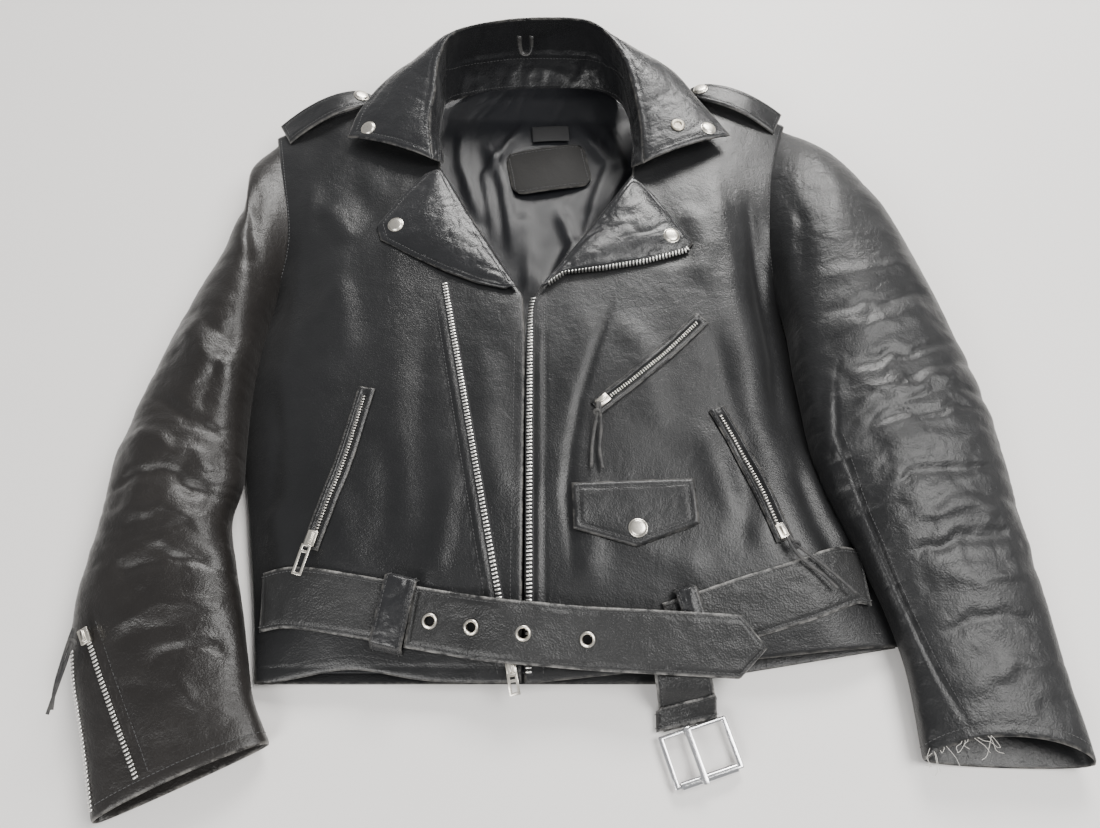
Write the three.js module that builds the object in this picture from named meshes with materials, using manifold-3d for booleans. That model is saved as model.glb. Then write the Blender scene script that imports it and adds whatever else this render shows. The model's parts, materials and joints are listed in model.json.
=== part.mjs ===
// A leather biker jacket lying open on its back: leather panels, lining, zips, belt and buckle.
// Millimetres. +X is to the wearer's left, +Y towards the collar, +Z up from the surface it lies on.
import * as THREE from 'three';
import { mergeVertices } from 'three/addons/utils/BufferGeometryUtils.js';
import Module from 'manifold-3d';

const wasm = await Module();
wasm.setup();

// ---- Driving sizes ----
const PATTERN_WIDTH = 480; // the width and length that the outlines below are drawn for
const PATTERN_LENGTH = 600;
const BODY_WIDTH = 480;
const BODY_LENGTH = 600;
const BODY_DEPTH = 46; // height of the fronts over the surface at the chest

const LEATHER = 1.6;
const LINING = 0.8;
const GAP = 0.4; // between layers that lie on each other
const SEAM_GAP = 2; // between two panels whose edges meet

const BELT_WIDTH = 45;
const BELT_THICKNESS = 2.4;
const LOOP_WIDTH = 16;
const LOOP_CLEARANCE = 4; // between a belt and the legs of its loop
const LOOP_LAYERS = 1.5; // the loop's thickness in leathers
const ZIP_WIDTH = 6;
const ZIP_THICKNESS = 1.6;
const SLIDER = { width: 8, length: 12, height: 4.5 };
const PULL = { width: 8, length: 24, shortLength: 16, thickness: 1.4, pin: 2.6, window: 4.6, rim: 2 };
const THONG = { halfWidth: 3, swell: 1, thickness: 2.2 };
const SNAP_RADIUS = 7.5;
const SNAP_HEIGHT = 2.2;
const SNAP_RIM = 0.8; // height of the cap's upright rim
const EYELET = { hole: 3.8, barrel: 4.4, flange: 7, flangeEdge: 0.7, crown: 1.5, clearance: 0.4 };
const BUCKLE = { width: 54, length: 38, bar: 3, roller: 3.7, pivotHeight: 5.6, sideBar: 4, play: 2 };
const PRONG = { width: 4.4, eyeClearance: 0.5, eyeWall: 1.6, stem: 1.4, rise: 0.3, thickness: 2 };
const STRAP_WIDTH = 42;
const EPAULETTE = { width: 31, length: 96, thickness: 2.6, point: 14, snapInset: 10, taper: 0.8 };
const FLAP = { width: 98, side: 38, point: 54, thickness: 2.6, snapInset: 15 };
const HANGER = { width: 15, drop: 20, thickness: 3, tilt: 0.35, standOff: 12.5 };
const LABEL = { width: 82, length: 56, thickness: 1.2, turn: 0.17 };

const gradeX = (x) => x * BODY_WIDTH / PATTERN_WIDTH;
const gradeY = (y) => y * BODY_LENGTH / PATTERN_LENGTH;
const grade = ([x, y, ...rest]) => [gradeX(x), gradeY(y), ...rest];
const vector = ([x, y, z = 0]) => new THREE.Vector3(x, y, z);

// ---- Colours ----
const finish = (color, roughness, metalness = 0) => ({ color, roughness, metalness });
const BLACK_LEATHER = finish(0x1b1c1e, 0.42);
const GLOSSY_LEATHER = finish(0x202124, 0.32);
const BELT_LEATHER = finish(0x29292b, 0.5);
const SATIN = finish(0x121318, 0.55);
const NICKEL = finish(0xcbc5b8, 0.3, 1);
const ZIP_TEETH = finish(0xb9bcc0, 0.32, 1);
const CHROME = finish(0xd6d8db, 0.15, 1);

// ---- Mesh helpers ----

// Reads a value from a list of [station, value] pairs, in straight lines between them.
function read(table, station) {
  const last = table.length - 1;
  if (station <= table[0][0]) return table[0][1];
  for (let i = 0; i < last; i += 1) {
    const [from, a] = table[i];
    const [to, b] = table[i + 1];
    if (station <= to) return a + (b - a) * (station - from) / (to - from);
  }
  return table[last][1];
}

// A broken line through the points, from 0 at the first to 1 at the last.
function brokenLine(points) {
  const steps = points.length - 1;
  return (t) => {
    const i = Math.min(Math.floor(t * steps + 1e-9), steps - 1);
    return vector(points[i]).lerp(vector(points[i + 1]), t * steps - i);
  };
}

function smoothLine(points) {
  const curve = new THREE.CatmullRomCurve3(points.map(vector), false, 'centripetal');
  return (t) => curve.getPoint(Math.min(Math.max(t, 0), 1));
}

function normalAt(surface, u, v) {
  const step = 1e-3;
  const clampLow = (t) => Math.max(t - step, 0);
  const clampHigh = (t) => Math.min(t + step, 1);
  const alongU = surface(clampHigh(u), v).sub(surface(clampLow(u), v));
  const alongV = surface(u, clampHigh(v)).sub(surface(u, clampLow(v)));
  return alongU.cross(alongV).normalize();
}

function signedVolume(positions, index) {
  const [a, b, c] = [new THREE.Vector3(), new THREE.Vector3(), new THREE.Vector3()];
  let volume = 0;
  for (let i = 0; i < index.length; i += 3) {
    a.fromArray(positions, 3 * index[i]);
    b.fromArray(positions, 3 * index[i + 1]);
    c.fromArray(positions, 3 * index[i + 2]);
    volume += a.dot(b.cross(c)) / 6;
  }
  return volume;
}

// How many faces each sheet has across and along.
const FRONT_GRID = [8, 24];
const LINING_GRID = [6, 16];
const YOKE_GRID = [8, 5];
const COLLAR_GRID = [30, 4];
const LAPEL_GRID = [6, 12];
const SLEEVE_GRID = [8, 18];
const STRAP_GRID = [2, 14];
const BELT_ACROSS = 4;
const SIDE_BELT_ALONG = 10;
const LEFT_BELT_ALONG = 14;
const TONGUE_ALONG = 28;
const MAIN_ZIP_ALONG = 24;
const LAPEL_ZIP_ALONG = 16;
const SNAP_SEGMENTS = 14;
const EYELET_SEGMENTS = 12;
const HOLE_SEGMENTS = 16;
const ROLLER_SEGMENTS = 16;

const DOWN = new THREE.Vector3(0, 0, -1);
const UP = new THREE.Vector3(0, 0, 1);

// A closed sheet: the surface is its outer face, and the thickness goes in, to the side of `inside`.
function sheet(surface, across, along, thickness, inside = DOWN) {
  const side = Math.sign(normalAt(surface, 0.5, 0.5).dot(inside));
  const outer = [];
  const inner = [];
  for (let j = 0; j <= along; j += 1) {
    for (let i = 0; i <= across; i += 1) {
      const point = surface(i / across, j / along);
      const inwards = normalAt(surface, i / across, j / along).multiplyScalar(side * thickness);
      outer.push(...point.toArray());
      inner.push(...point.clone().add(inwards).toArray());
    }
  }
  const count = (across + 1) * (along + 1);
  const at = (i, j) => j * (across + 1) + i;
  const index = [];
  const quad = (a, b, c, d) => index.push(a, b, c, a, c, d);
  for (let j = 0; j < along; j += 1) {
    for (let i = 0; i < across; i += 1) {
      quad(at(i, j), at(i + 1, j), at(i + 1, j + 1), at(i, j + 1));
      quad(count + at(i, j), count + at(i, j + 1), count + at(i + 1, j + 1), count + at(i + 1, j));
    }
  }
  const rim = [];
  for (let i = 0; i < across; i += 1) rim.push(at(i, 0));
  for (let j = 0; j < along; j += 1) rim.push(at(across, j));
  for (let i = across; i > 0; i -= 1) rim.push(at(i, along));
  for (let j = along; j > 0; j -= 1) rim.push(at(0, j));
  rim.forEach((from, k) => {
    const to = rim[(k + 1) % rim.length];
    quad(to, from, count + from, count + to);
  });
  const positions = [...outer, ...inner];
  if (signedVolume(positions, index) < 0) {
    for (let i = 0; i < index.length; i += 3) [index[i], index[i + 1]] = [index[i + 1], index[i]];
  }
  const geometry = new THREE.BufferGeometry();
  geometry.setAttribute('position', new THREE.Float32BufferAttribute(positions, 3));
  geometry.setIndex(index);
  geometry.computeVertexNormals();
  return geometry;
}

function toSolid(geometry) {
  const bare = geometry.clone();
  bare.deleteAttribute('normal');
  bare.deleteAttribute('uv');
  const merged = mergeVertices(bare, 1e-4);
  return new wasm.Manifold(new wasm.Mesh({
    numProp: 3,
    vertProperties: new Float32Array(merged.attributes.position.array),
    triVerts: new Uint32Array(merged.index.array),
  }));
}

function fromSolid(solid) {
  const { vertProperties, triVerts } = solid.getMesh();
  const geometry = new THREE.BufferGeometry();
  geometry.setAttribute('position', new THREE.BufferAttribute(new Float32Array(vertProperties), 3));
  geometry.setIndex(new THREE.BufferAttribute(new Uint32Array(triVerts), 1));
  geometry.computeVertexNormals();
  return geometry;
}

const cut = (geometry, tools) => fromSolid(
  tools.reduce((solid, tool) => solid.subtract(toSolid(tool)), toSolid(geometry)),
);

function outline(points) {
  return new THREE.Shape(points.map(([x, y]) => new THREE.Vector2(x, y)));
}

function plate(points, thickness, holes = []) {
  const shape = outline(points);
  shape.holes = holes.map(outline);
  return new THREE.ExtrudeGeometry(shape, { depth: thickness, bevelEnabled: false });
}

const rectangle = (x0, y0, x1, y1) => [[x0, y0], [x1, y0], [x1, y1], [x0, y1]];

function mesh(name, geometry, look) {
  const piece = new THREE.Mesh(geometry, new THREE.MeshStandardMaterial(look));
  piece.name = name;
  return piece;
}

// ---- The body's outer shape ----

// The side edges, as [y, x]: hem, waist, chest, underarm, armhole and shoulder tip.
const RIGHT_SIDE = [[-231, -220], [-170, -231], [-90, -245], [-10, -251], [60, -251], [116, -246],
  [170, -247], [240, -261], [288, -272]].map(([y, x]) => [gradeY(y), gradeX(x)]);
const LEFT_SIDE = [[-203, 268], [-165, 255], [-120, 238], [-88, 224], [-20, 208], [44, 207],
  [104, 208], [160, 208], [235, 216], [305, 236]].map(([y, x]) => [gradeY(y), gradeX(x)]);

// Heights along the middle and along the side edges, as [y, share of the body's depth].
const CREST = [[-232, 0.35], [-150, 0.8], [-90, 0.93], [0, 1], [240, 1], [370, 0.92]]
  .map(([y, share]) => [gradeY(y), share * BODY_DEPTH]);
const EDGE = [[90, 0.18], [130, 0.52], [200, 0.86], [260, 0.84], [300, 0.74], [370, 0.82]]
  .map(([y, share]) => [gradeY(y), share * BODY_DEPTH]);
const SIDE_ROLL = 70; // how far in from its side edge the body goes on rising

function bodyTop(x, y) {
  const fromSide = Math.min(x - read(RIGHT_SIDE, y), read(LEFT_SIDE, y) - x);
  const share = Math.min(Math.max(fromSide / SIDE_ROLL, 0), 1);
  const edge = read(EDGE, y);
  return edge + (read(CREST, y) - edge) * Math.sin(share * Math.PI / 2);
}

// ---- Back, lining and yokes ----
const SHOULDER_INSET = 2;
const NECK_BACK = [[98, 364], [60, 376], [0, 380], [-60, 376], [-116, 355]].map(grade);

function backOutline(inset) {
  const left = LEFT_SIDE.map(([y, x]) => [x - inset, y]);
  const right = RIGHT_SIDE.map(([y, x]) => [x + inset, y]).reverse();
  const lowered = ([x, y]) => [x, y - SHOULDER_INSET - inset];
  left[0][1] += inset;
  right[right.length - 1][1] += inset;
  left[left.length - 1][1] -= inset;
  right[0][1] -= inset;
  return [...left, ...NECK_BACK.map(lowered), ...right];
}

function makeBack() {
  const lining = mesh('back_lining', plate(backOutline(8), LINING), SATIN);
  lining.position.z = LEATHER + GAP;
  return [mesh('back_panel', plate(backOutline(1), LEATHER), BLACK_LEATHER), lining];
}

const BACK_STACK = LEATHER + GAP + LINING + GAP;

// A yoke closes the shoulder, from the fronts' shoulder seam down to the back.
function makeYoke(name, tip, neck) {
  const bulge = 7;
  const endGap = 0.02; // share of the seam left free at each end
  const outwards = vector([tip[1] - neck[1], neck[0] - tip[0]]).normalize();
  if (outwards.y < 0) outwards.negate();
  const surface = (u, v) => {
    const seam = vector(tip).lerp(vector(neck), endGap + (1 - 2 * endGap) * u);
    const top = bodyTop(seam.x, seam.y);
    const bottom = BACK_STACK + LEATHER;
    const stand = SEAM_GAP + bulge * Math.sin(Math.PI * v);
    return seam.addScaledVector(outwards, stand).setZ(top + (bottom - top) * v);
  };
  return mesh(name, sheet(surface, YOKE_GRID[0], YOKE_GRID[1], LEATHER, outwards.clone().negate()),
    BLACK_LEATHER);
}

// ---- Fronts ----
const RIGHT_TIP = grade([-272, 288]);
const LEFT_TIP = grade([236, 305]);
const RIGHT_NECK = grade([-118, 352]);
const LEFT_NECK = grade([98, 362]);
const RIGHT_EDGE_X = -21.5;
const LEFT_EDGE_X = RIGHT_EDGE_X + SEAM_GAP;
const RIGHT_BREAK = grade([-24, 94]); // where the lapel's fold meets the front edge
const LEFT_BREAK = grade([-15, 92]);
const RIGHT_NOTCH = grade([-105, 239]);
const LEFT_NOTCH = grade([78, 230]);

const middle = ([ax, ay], [bx, by]) => [(ax + bx) / 2, (ay + by) / 2];

const RIGHT_OUTER = brokenLine([-231, -170, -90, -10, 60, 116, 170, 240, 288]
  .map((y) => [read(RIGHT_SIDE, gradeY(y)), gradeY(y)]));
const RIGHT_INNER = brokenLine([...[-231, -170, -90, -10, 50].map((y) => [RIGHT_EDGE_X, gradeY(y)]),
  RIGHT_BREAK, middle(RIGHT_BREAK, RIGHT_NOTCH), RIGHT_NOTCH, RIGHT_NECK]);
const LEFT_OUTER = brokenLine([-203, -165, -95, -20, 44, 104, 165, 235, 305]
  .map((y) => [read(LEFT_SIDE, gradeY(y)), gradeY(y)]));
const LEFT_INNER = brokenLine([...[-232, -170, -90, -10, 50].map((y) => [LEFT_EDGE_X, gradeY(y)]),
  LEFT_BREAK, middle(LEFT_BREAK, LEFT_NOTCH), LEFT_NOTCH, LEFT_NECK]);

const frontSurface = (outer, inner, drop = 0) => (u, v) => {
  const point = outer(v).lerp(inner(v), u);
  return point.setZ(bodyTop(point.x, point.y) - drop);
};

function makeFronts() {
  const [across, along] = FRONT_GRID;
  const inside = LEATHER + GAP;
  const ease = 2.5; // the lining hangs a little clear of the leather
  const sideTrim = 0.1; // shares of the front that its lining leaves free
  const edgeTrim = 0.03;
  const endTrim = 0.02;
  const trimmed = (surface) => (u, v) => surface(
    sideTrim + (1 - sideTrim - edgeTrim) * u,
    endTrim + (1 - 2 * endTrim) * v,
  );
  const right = frontSurface(RIGHT_OUTER, RIGHT_INNER);
  const left = frontSurface(LEFT_OUTER, LEFT_INNER);
  const under = (outer, inner) => trimmed(frontSurface(outer, inner, inside + ease));
  return [
    mesh('right_front', sheet(right, across, along, LEATHER), BLACK_LEATHER),
    mesh('left_front', sheet(left, across, along, LEATHER), BLACK_LEATHER),
    mesh('right_front_lining', sheet(under(RIGHT_OUTER, RIGHT_INNER), ...LINING_GRID, LINING), SATIN),
    mesh('left_front_lining', sheet(under(LEFT_OUTER, LEFT_INNER), ...LINING_GRID, LINING), SATIN),
  ];
}

// ---- Seating flat pieces on a curved surface ----

// A group with its origin at `start` and +Y towards `end`. Its floor clears the height field
// under the whole footprint, from -halfWidth to halfWidth and from 0 to the distance.
function benchOn(height, start, end, halfWidth, clearance = GAP) {
  const from = vector([...start.slice(0, 2), height(start[0], start[1])]);
  const to = vector([...end.slice(0, 2), height(end[0], end[1])]);
  const along = to.clone().sub(from);
  const length = along.length();
  along.normalize();
  const flat = new THREE.Vector3(along.y, -along.x, 0).normalize();
  const centre = from.clone().lerp(to, 0.5);
  const side = (sign) => {
    const point = centre.clone().addScaledVector(flat, sign * halfWidth);
    return point.setZ(height(point.x, point.y));
  };
  const across = side(1).sub(side(-1)).normalize();
  const up = across.clone().cross(along).normalize();
  across.copy(along).cross(up).normalize();
  const sideSteps = 2; // how finely the footprint is felt, to each side and along
  const longSteps = 16;
  let lift = 0;
  for (let i = -sideSteps; i <= sideSteps; i += 1) {
    for (let j = 0; j <= longSteps; j += 1) {
      const point = from.clone().addScaledVector(along, length * j / longSteps)
        .addScaledVector(across, halfWidth * i / sideSteps);
      lift = Math.max(lift, (height(point.x, point.y) - point.z) * up.z);
    }
  }
  const bench = new THREE.Group();
  bench.matrix.makeBasis(across, along, up);
  bench.quaternion.setFromRotationMatrix(bench.matrix);
  bench.position.copy(from).addScaledVector(up, lift + clearance);
  return bench;
}

const FINE_STEPS = 160; // for a long surface, whose points lie further apart

// Height of a leaning surface over a place, from its nearest point in plan.
function heightOf(surface, steps = 90) {
  const samples = [];
  for (let i = 0; i <= steps; i += 1) {
    for (let j = 0; j <= steps; j += 1) samples.push(surface(i / steps, j / steps));
  }
  return (x, y) => samples.reduce((best, point) => {
    const distance = (point.x - x) ** 2 + (point.y - y) ** 2;
    return distance < best.distance ? { distance, z: point.z } : best;
  }, { distance: Infinity, z: 0 }).z;
}

// ---- Snaps ----
function snapGeometry() {
  const shoulder = [SNAP_RADIUS * 0.8, SNAP_HEIGHT * 0.85]; // where the dome flattens
  const flat = [SNAP_RADIUS * 0.4, SNAP_HEIGHT];
  const profile = [[0, 0], [SNAP_RADIUS, 0], [SNAP_RADIUS, SNAP_RIM], shoulder, flat, [0, SNAP_HEIGHT]];
  const turned = new THREE.LatheGeometry(profile.map(([r, z]) => new THREE.Vector2(r, z)),
    SNAP_SEGMENTS);
  return turned.rotateX(Math.PI / 2);
}

function snapOn(name, height, place) {
  const start = [place[0], place[1] - SNAP_RADIUS];
  const end = [place[0], place[1] + SNAP_RADIUS];
  const bench = benchOn(height, start, end, SNAP_RADIUS);
  const snap = mesh(name, snapGeometry(), NICKEL);
  snap.position.y = SNAP_RADIUS;
  bench.add(snap);
  return bench;
}

// ---- Collar ----
const COLLAR_FOLD = smoothLine([[-111, 239, 60], [-115, 278, 67], [-111, 314, 73], [-108, 351, 79],
  [-93, 380, 84], [-50, 392, 87], [0, 395, 88], [42, 390, 87], [66, 362, 81], [79, 323, 74],
  [86, 278, 67], [88, 234, 60]].map(grade));
const COLLAR_EDGE = smoothLine([[-196, 271, 56], [-187, 303, 58], [-169, 335, 60], [-148, 359, 60],
  [-110, 388, 58], [-52, 402, 50], [0, 406, 48], [50, 402, 50], [90, 382, 58], [122, 354, 62],
  [147, 315, 60], [174, 271, 58]].map(grade));
const NECK_SEAM = smoothLine([[-101, 243, 52], [-104, 278, 50], [-102, 312, 40], [-99, 338, 26],
  [-84, 354, 16], [-45, 361, 10], [0, 364, 9], [36, 364, 10], [56, 350, 16], [68, 318, 30],
  [75, 278, 46], [77, 238, 52]].map(grade));

const COLLAR_LAYERS = 1.5; // the fall's thickness in leathers
const FALL_START = 0.02; // share of the fall's width that the fold takes
const STAND_END = 0.9; // share of the stand's height up to the fold
const TOWARDS_HEM = new THREE.Vector3(0, -1, 0);

const collarFall = (u, v) => COLLAR_FOLD(u).lerp(COLLAR_EDGE(u), FALL_START + (1 - FALL_START) * v);
const collarStand = (u, v) => NECK_SEAM(u).lerp(COLLAR_FOLD(u), STAND_END * v);

function makeCollar() {
  const fall = sheet(collarFall, ...COLLAR_GRID, LEATHER * COLLAR_LAYERS);
  const stand = sheet(collarStand, ...COLLAR_GRID, LEATHER, TOWARDS_HEM);
  return [mesh('collar_fall', fall, GLOSSY_LEATHER), mesh('collar_stand', stand, GLOSSY_LEATHER)];
}

function makeHanger() {
  const { width, drop, thickness, tilt, standOff } = HANGER;
  const seatShare = 0.12; // how far down the stand from the fold it hangs
  const loop = plate(rectangle(0, 0, width, drop), thickness,
    [rectangle(thickness, thickness, width - thickness, drop - thickness)]);
  const hanger = mesh('hanger_loop', loop, BLACK_LEATHER);
  const seat = COLLAR_FOLD(0.5).lerp(NECK_SEAM(0.5), seatShare);
  hanger.rotation.set(Math.PI / 2 - tilt, 0, 0);
  hanger.position.set(seat.x - width / 2, seat.y - standOff, seat.z - drop);
  return hanger;
}

function makeLabel() {
  const corner = grade([-37, 238]);
  const { width, length, thickness, turn } = LABEL;
  const label = mesh('label_patch', plate(rectangle(0, 0, width, length), thickness), GLOSSY_LEATHER);
  label.position.set(...corner, BACK_STACK);
  label.rotation.z = turn;
  return label;
}

// ---- Lapels ----
const LAPEL_LIFT = 3.12; // height of its top over the front, before it swells
const LAPEL_SWELL = 5;
const LAPEL_ENDS = [0.06, 0.97]; // shares of the fold where the lapel starts and ends
const LAPEL_START = 0.05; // share of its width that the fold takes
const rightLapelEdge = brokenLine([RIGHT_BREAK, [-64, 104], [-92, 116], [-124, 133], [-155, 152],
  [-160, 168], [-141, 202], [-120, 230], [-110, 234]].map((p, i) => (i ? grade(p) : p)));
const rightLapelFold = brokenLine([RIGHT_BREAK, RIGHT_NOTCH]);
const leftLapelEdge = brokenLine([LEFT_BREAK, [14, 116], [49, 120], [86, 127], [124, 139],
  [131, 149], [115, 176], [99, 203], [84, 222]].map((p, i) => (i ? grade(p) : p)));
const leftLapelFold = brokenLine([LEFT_BREAK, LEFT_NOTCH]);

// A lapel lies turned back on its front and swells towards its fold.
const lapelSurface = (fold, edge) => (u, v) => {
  const [near, far] = LAPEL_ENDS;
  const station = near + (far - near) * v;
  const point = fold(station).lerp(edge(station), LAPEL_START + (1 - LAPEL_START) * u);
  const swell = LAPEL_SWELL * Math.sin(Math.PI * u);
  return point.setZ(bodyTop(point.x, point.y) + LAPEL_LIFT + swell);
};
const rightLapelSurface = lapelSurface(rightLapelFold, rightLapelEdge);
const leftLapelSurface = lapelSurface(leftLapelFold, leftLapelEdge);

function makeLapels() {
  return [
    mesh('right_lapel', sheet(rightLapelSurface, ...LAPEL_GRID, LEATHER), GLOSSY_LEATHER),
    mesh('left_lapel', sheet(leftLapelSurface, ...LAPEL_GRID, LEATHER), GLOSSY_LEATHER),
  ];
}

// ---- Sleeves ----
// Stations from armhole to cuff: outer edge, inner edge, height, and how far the station's
// middle bows towards the body.
const RIGHT_SLEEVE = [
  [[-275, 286], [-251, 114], 50, 5], [[-292, 252], [-255, 88], 58, 3], [[-288, 202], [-257, 58], 62, 0],
  [[-300, 150], [-259, 20], 62, 0], [[-318, 105], [-259, -15], 60, 0], [[-333, 58], [-257, -45], 58, 0],
  [[-346, 5], [-255, -75], 56, 0], [[-358, -50], [-259, -106], 54, 0], [[-361, -110], [-250, -142], 50, 0],
  [[-366, -165], [-240, -176], 44, 0], [[-362, -212], [-231, -210], 40, 0],
  [[-341, -270], [-222, -243], 36, 0], [[-323, -326], [-206, -273], 32, 0]];
const LEFT_SLEEVE = [
  [[240, 305], [212, 102], 54, -9], [[263, 284], [214, 78], 60, -5], [[287, 256], [214, 54], 64, 0],
  [[310, 215], [214, 30], 66, 0], [[329, 160], [216, 0], 66, 0], [[345, 109], [220, -30], 64, 0],
  [[357, 60], [227, -58], 62, 0], [[367, 12], [237, -88], 60, 0], [[374, -40], [249, -118], 56, 0],
  [[378, -95], [261, -150], 50, 0], [[382, -150], [270, -180], 44, 0], [[388, -215], [276, -225], 38, 0],
  [[395, -288], [272, -284], 34, 0]];

function sleeveSurface(stations, from, to) {
  const outer = smoothLine(stations.map(([a]) => grade(a)));
  const inner = smoothLine(stations.map(([, b]) => grade(b)));
  const rise = smoothLine(stations.map(([, , top, bow], i) => [i, bow, top]));
  const seamShare = 0.4; // height of the seams as a share of the sleeve's height
  const topFullness = 0.85; // under 1, the tube is fuller than an ellipse
  const underFullness = 0.55;
  return (u, v) => {
    const angle = from + (to - from) * u;
    const a = outer(v);
    const b = inner(v);
    const { y: bow, z: top } = rise(v);
    const half = a.clone().sub(b).multiplyScalar(0.5);
    const point = a.clone().add(b).multiplyScalar(0.5).addScaledVector(half, Math.cos(angle));
    const lift = Math.abs(Math.sin(angle));
    point.x += bow * lift * lift;
    const seam = top * seamShare;
    const upper = seam + (top - seam) * lift ** topFullness;
    const lower = seam * (1 - lift ** underFullness);
    return point.setZ(Math.sin(angle) > 0 ? upper : lower);
  };
}

const SEAM_ANGLE = 0.03 * Math.PI; // leaves the halves a little apart at their seams
const topHalf = (stations) => sleeveSurface(stations, SEAM_ANGLE, Math.PI - SEAM_ANGLE);
const underHalf = (stations) => sleeveSurface(stations, Math.PI + SEAM_ANGLE, 2 * Math.PI - SEAM_ANGLE);

function makeSleeve(side, stations) {
  return [
    mesh(`${side}_sleeve_top`, sheet(topHalf(stations), ...SLEEVE_GRID, LEATHER), BLACK_LEATHER),
    mesh(`${side}_sleeve_under`, sheet(underHalf(stations), ...SLEEVE_GRID, LEATHER, UP), BLACK_LEATHER),
  ];
}

// ---- Zips ----
// A chain that follows a curved surface: a flat strip along a line of points.
function stripOn(line, height, width, thickness, clearance) {
  return (u, v) => {
    const step = 1e-3;
    const here = line(v);
    const heading = line(Math.min(v + step, 1)).sub(line(Math.max(v - step, 0))).setZ(0).normalize();
    here.addScaledVector(new THREE.Vector3(heading.y, -heading.x, 0), (u - 0.5) * width);
    return here.setZ(height(here.x, here.y) + clearance + thickness);
  };
}

const MAIN_ZIP_CLEARANCE = 0.8;
const LAPEL_ZIP_LIFT = 3.2; // the lapel swells under its zip
const RIGHT_CHAIN = [[-28, -226], [-94, 108]].map(grade);
const CHAIN_INSET = 0.5; // of the left chain from the front's edge
const LEFT_CHAIN_X = LEFT_EDGE_X + ZIP_WIDTH / 2 + CHAIN_INSET;
const LEFT_CHAIN_ENDS = [-226, 84];

function makeMainZip() {
  const strip = (name, points, along) => mesh(name, sheet(
    stripOn(brokenLine(points), bodyTop, ZIP_WIDTH, ZIP_THICKNESS, MAIN_ZIP_CLEARANCE),
    1, along, ZIP_THICKNESS), ZIP_TEETH);
  const left = LEFT_CHAIN_ENDS.map((y) => [LEFT_CHAIN_X, gradeY(y)]);
  return [strip('main_zip_right', RIGHT_CHAIN, MAIN_ZIP_ALONG),
    strip('main_zip_left', left, MAIN_ZIP_ALONG)];
}

// The left chain goes on along the lower edge of the left lapel.
function makeLapelZip() {
  const outerShare = 0.97; // shares of the lapel's width and of its edge
  const innerShare = 0.8;
  const [from, to] = [0.1, 0.56];
  const surface = (u, v) => {
    const station = from + (to - from) * v;
    const point = leftLapelSurface(outerShare, station);
    const inner = leftLapelSurface(innerShare, station);
    const inwards = inner.sub(point).normalize();
    const clear = LAPEL_ZIP_LIFT + ZIP_THICKNESS;
    return point.addScaledVector(inwards, ZIP_WIDTH * u).addScaledVector(UP, clear);
  };
  return mesh('main_zip_lapel', sheet(surface, 1, LAPEL_ZIP_ALONG, ZIP_THICKNESS), ZIP_TEETH);
}

// A slider straddles its chain. Its bridge on top holds the pull's ring.
function sliderGeometry() {
  const { width, length, height } = SLIDER;
  const bodyHeight = height * 0.45;
  const bridgeLength = length * 0.7;
  const bridgeFoot = height * 0.2;
  const body = plate(rectangle(-width / 2, 0, width / 2, length), bodyHeight);
  const bridge = new THREE.BoxGeometry(PULL.pin, bridgeLength, height - bridgeFoot)
    .translate(0, length / 2, (height + bridgeFoot) / 2);
  return fromSolid(toSolid(body).add(toSolid(bridge)));
}

function pullGeometry(length = PULL.length) {
  const half = PULL.width / 2;
  const ring = PULL.pin / 2 + 0.7;
  const ringWall = 1.4;
  return plate(rectangle(-half, -length, half, 0), PULL.thickness, [
    rectangle(-ring, -PULL.window, ring, -ringWall),
    rectangle(-half + PULL.rim, -length + PULL.rim, half - PULL.rim, -PULL.window - PULL.rim)]);
}

// Two plaited leather strands, as one flat plain piece.
function thongGeometry(length) {
  const half = THONG.halfWidth;
  const knot = half + THONG.swell;
  return plate([[-half, -length], [half, -length], [knot, -length / 2], [half, 0], [-half, 0],
    [-knot, -length / 2]], THONG.thickness);
}

// A straight pocket zip on a bench: welt and chain, slider at the start, and what hangs on it.
function makePocketZip(prefix, height, start, end, weltWidth, hanging) {
  const bench = benchOn(height, start, end, weltWidth / 2, 2 * GAP);
  const length = Math.hypot(end[0] - start[0], end[1] - start[1]);
  const chain = mesh(`${prefix}_zip`, plate(rectangle(-weltWidth / 2, 0, weltWidth / 2, length),
    ZIP_THICKNESS), ZIP_TEETH);
  const slider = mesh(`${prefix}_slider`, sliderGeometry(), NICKEL);
  slider.position.set(0, SLIDER_INSET, ZIP_THICKNESS + GAP);
  hanging.position.set(0, SLIDER_INSET, ZIP_THICKNESS + SLIDER.height + 2 * GAP);
  bench.add(chain, slider, hanging);
  return bench;
}

const POCKET_WELT = 13;
const SLIDER_INSET = 2; // from the end of a pocket zip
const LEFT_THONG = { length: 70, turn: 0.51 };
const CHEST_THONG = { length: 58, turn: 0.74 };
const CUFF_THONG = { length: 62, turn: 2.43 }; // it hangs back beside the chain
const CUFF_ZIP_WIDTH = ZIP_WIDTH + 2;
const RIGHT_POCKET = { start: grade([-187, -134]), end: grade([-153, 2]) };
const LEFT_POCKET = { start: grade([183, -128]), end: grade([138, -16]) };
const CHEST_POCKET = { start: grade([38, -16]), end: grade([133, 70]) };
const CUFF_ZIP = { start: grade([-348, -193]), end: grade([-289, -298]) };

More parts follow.
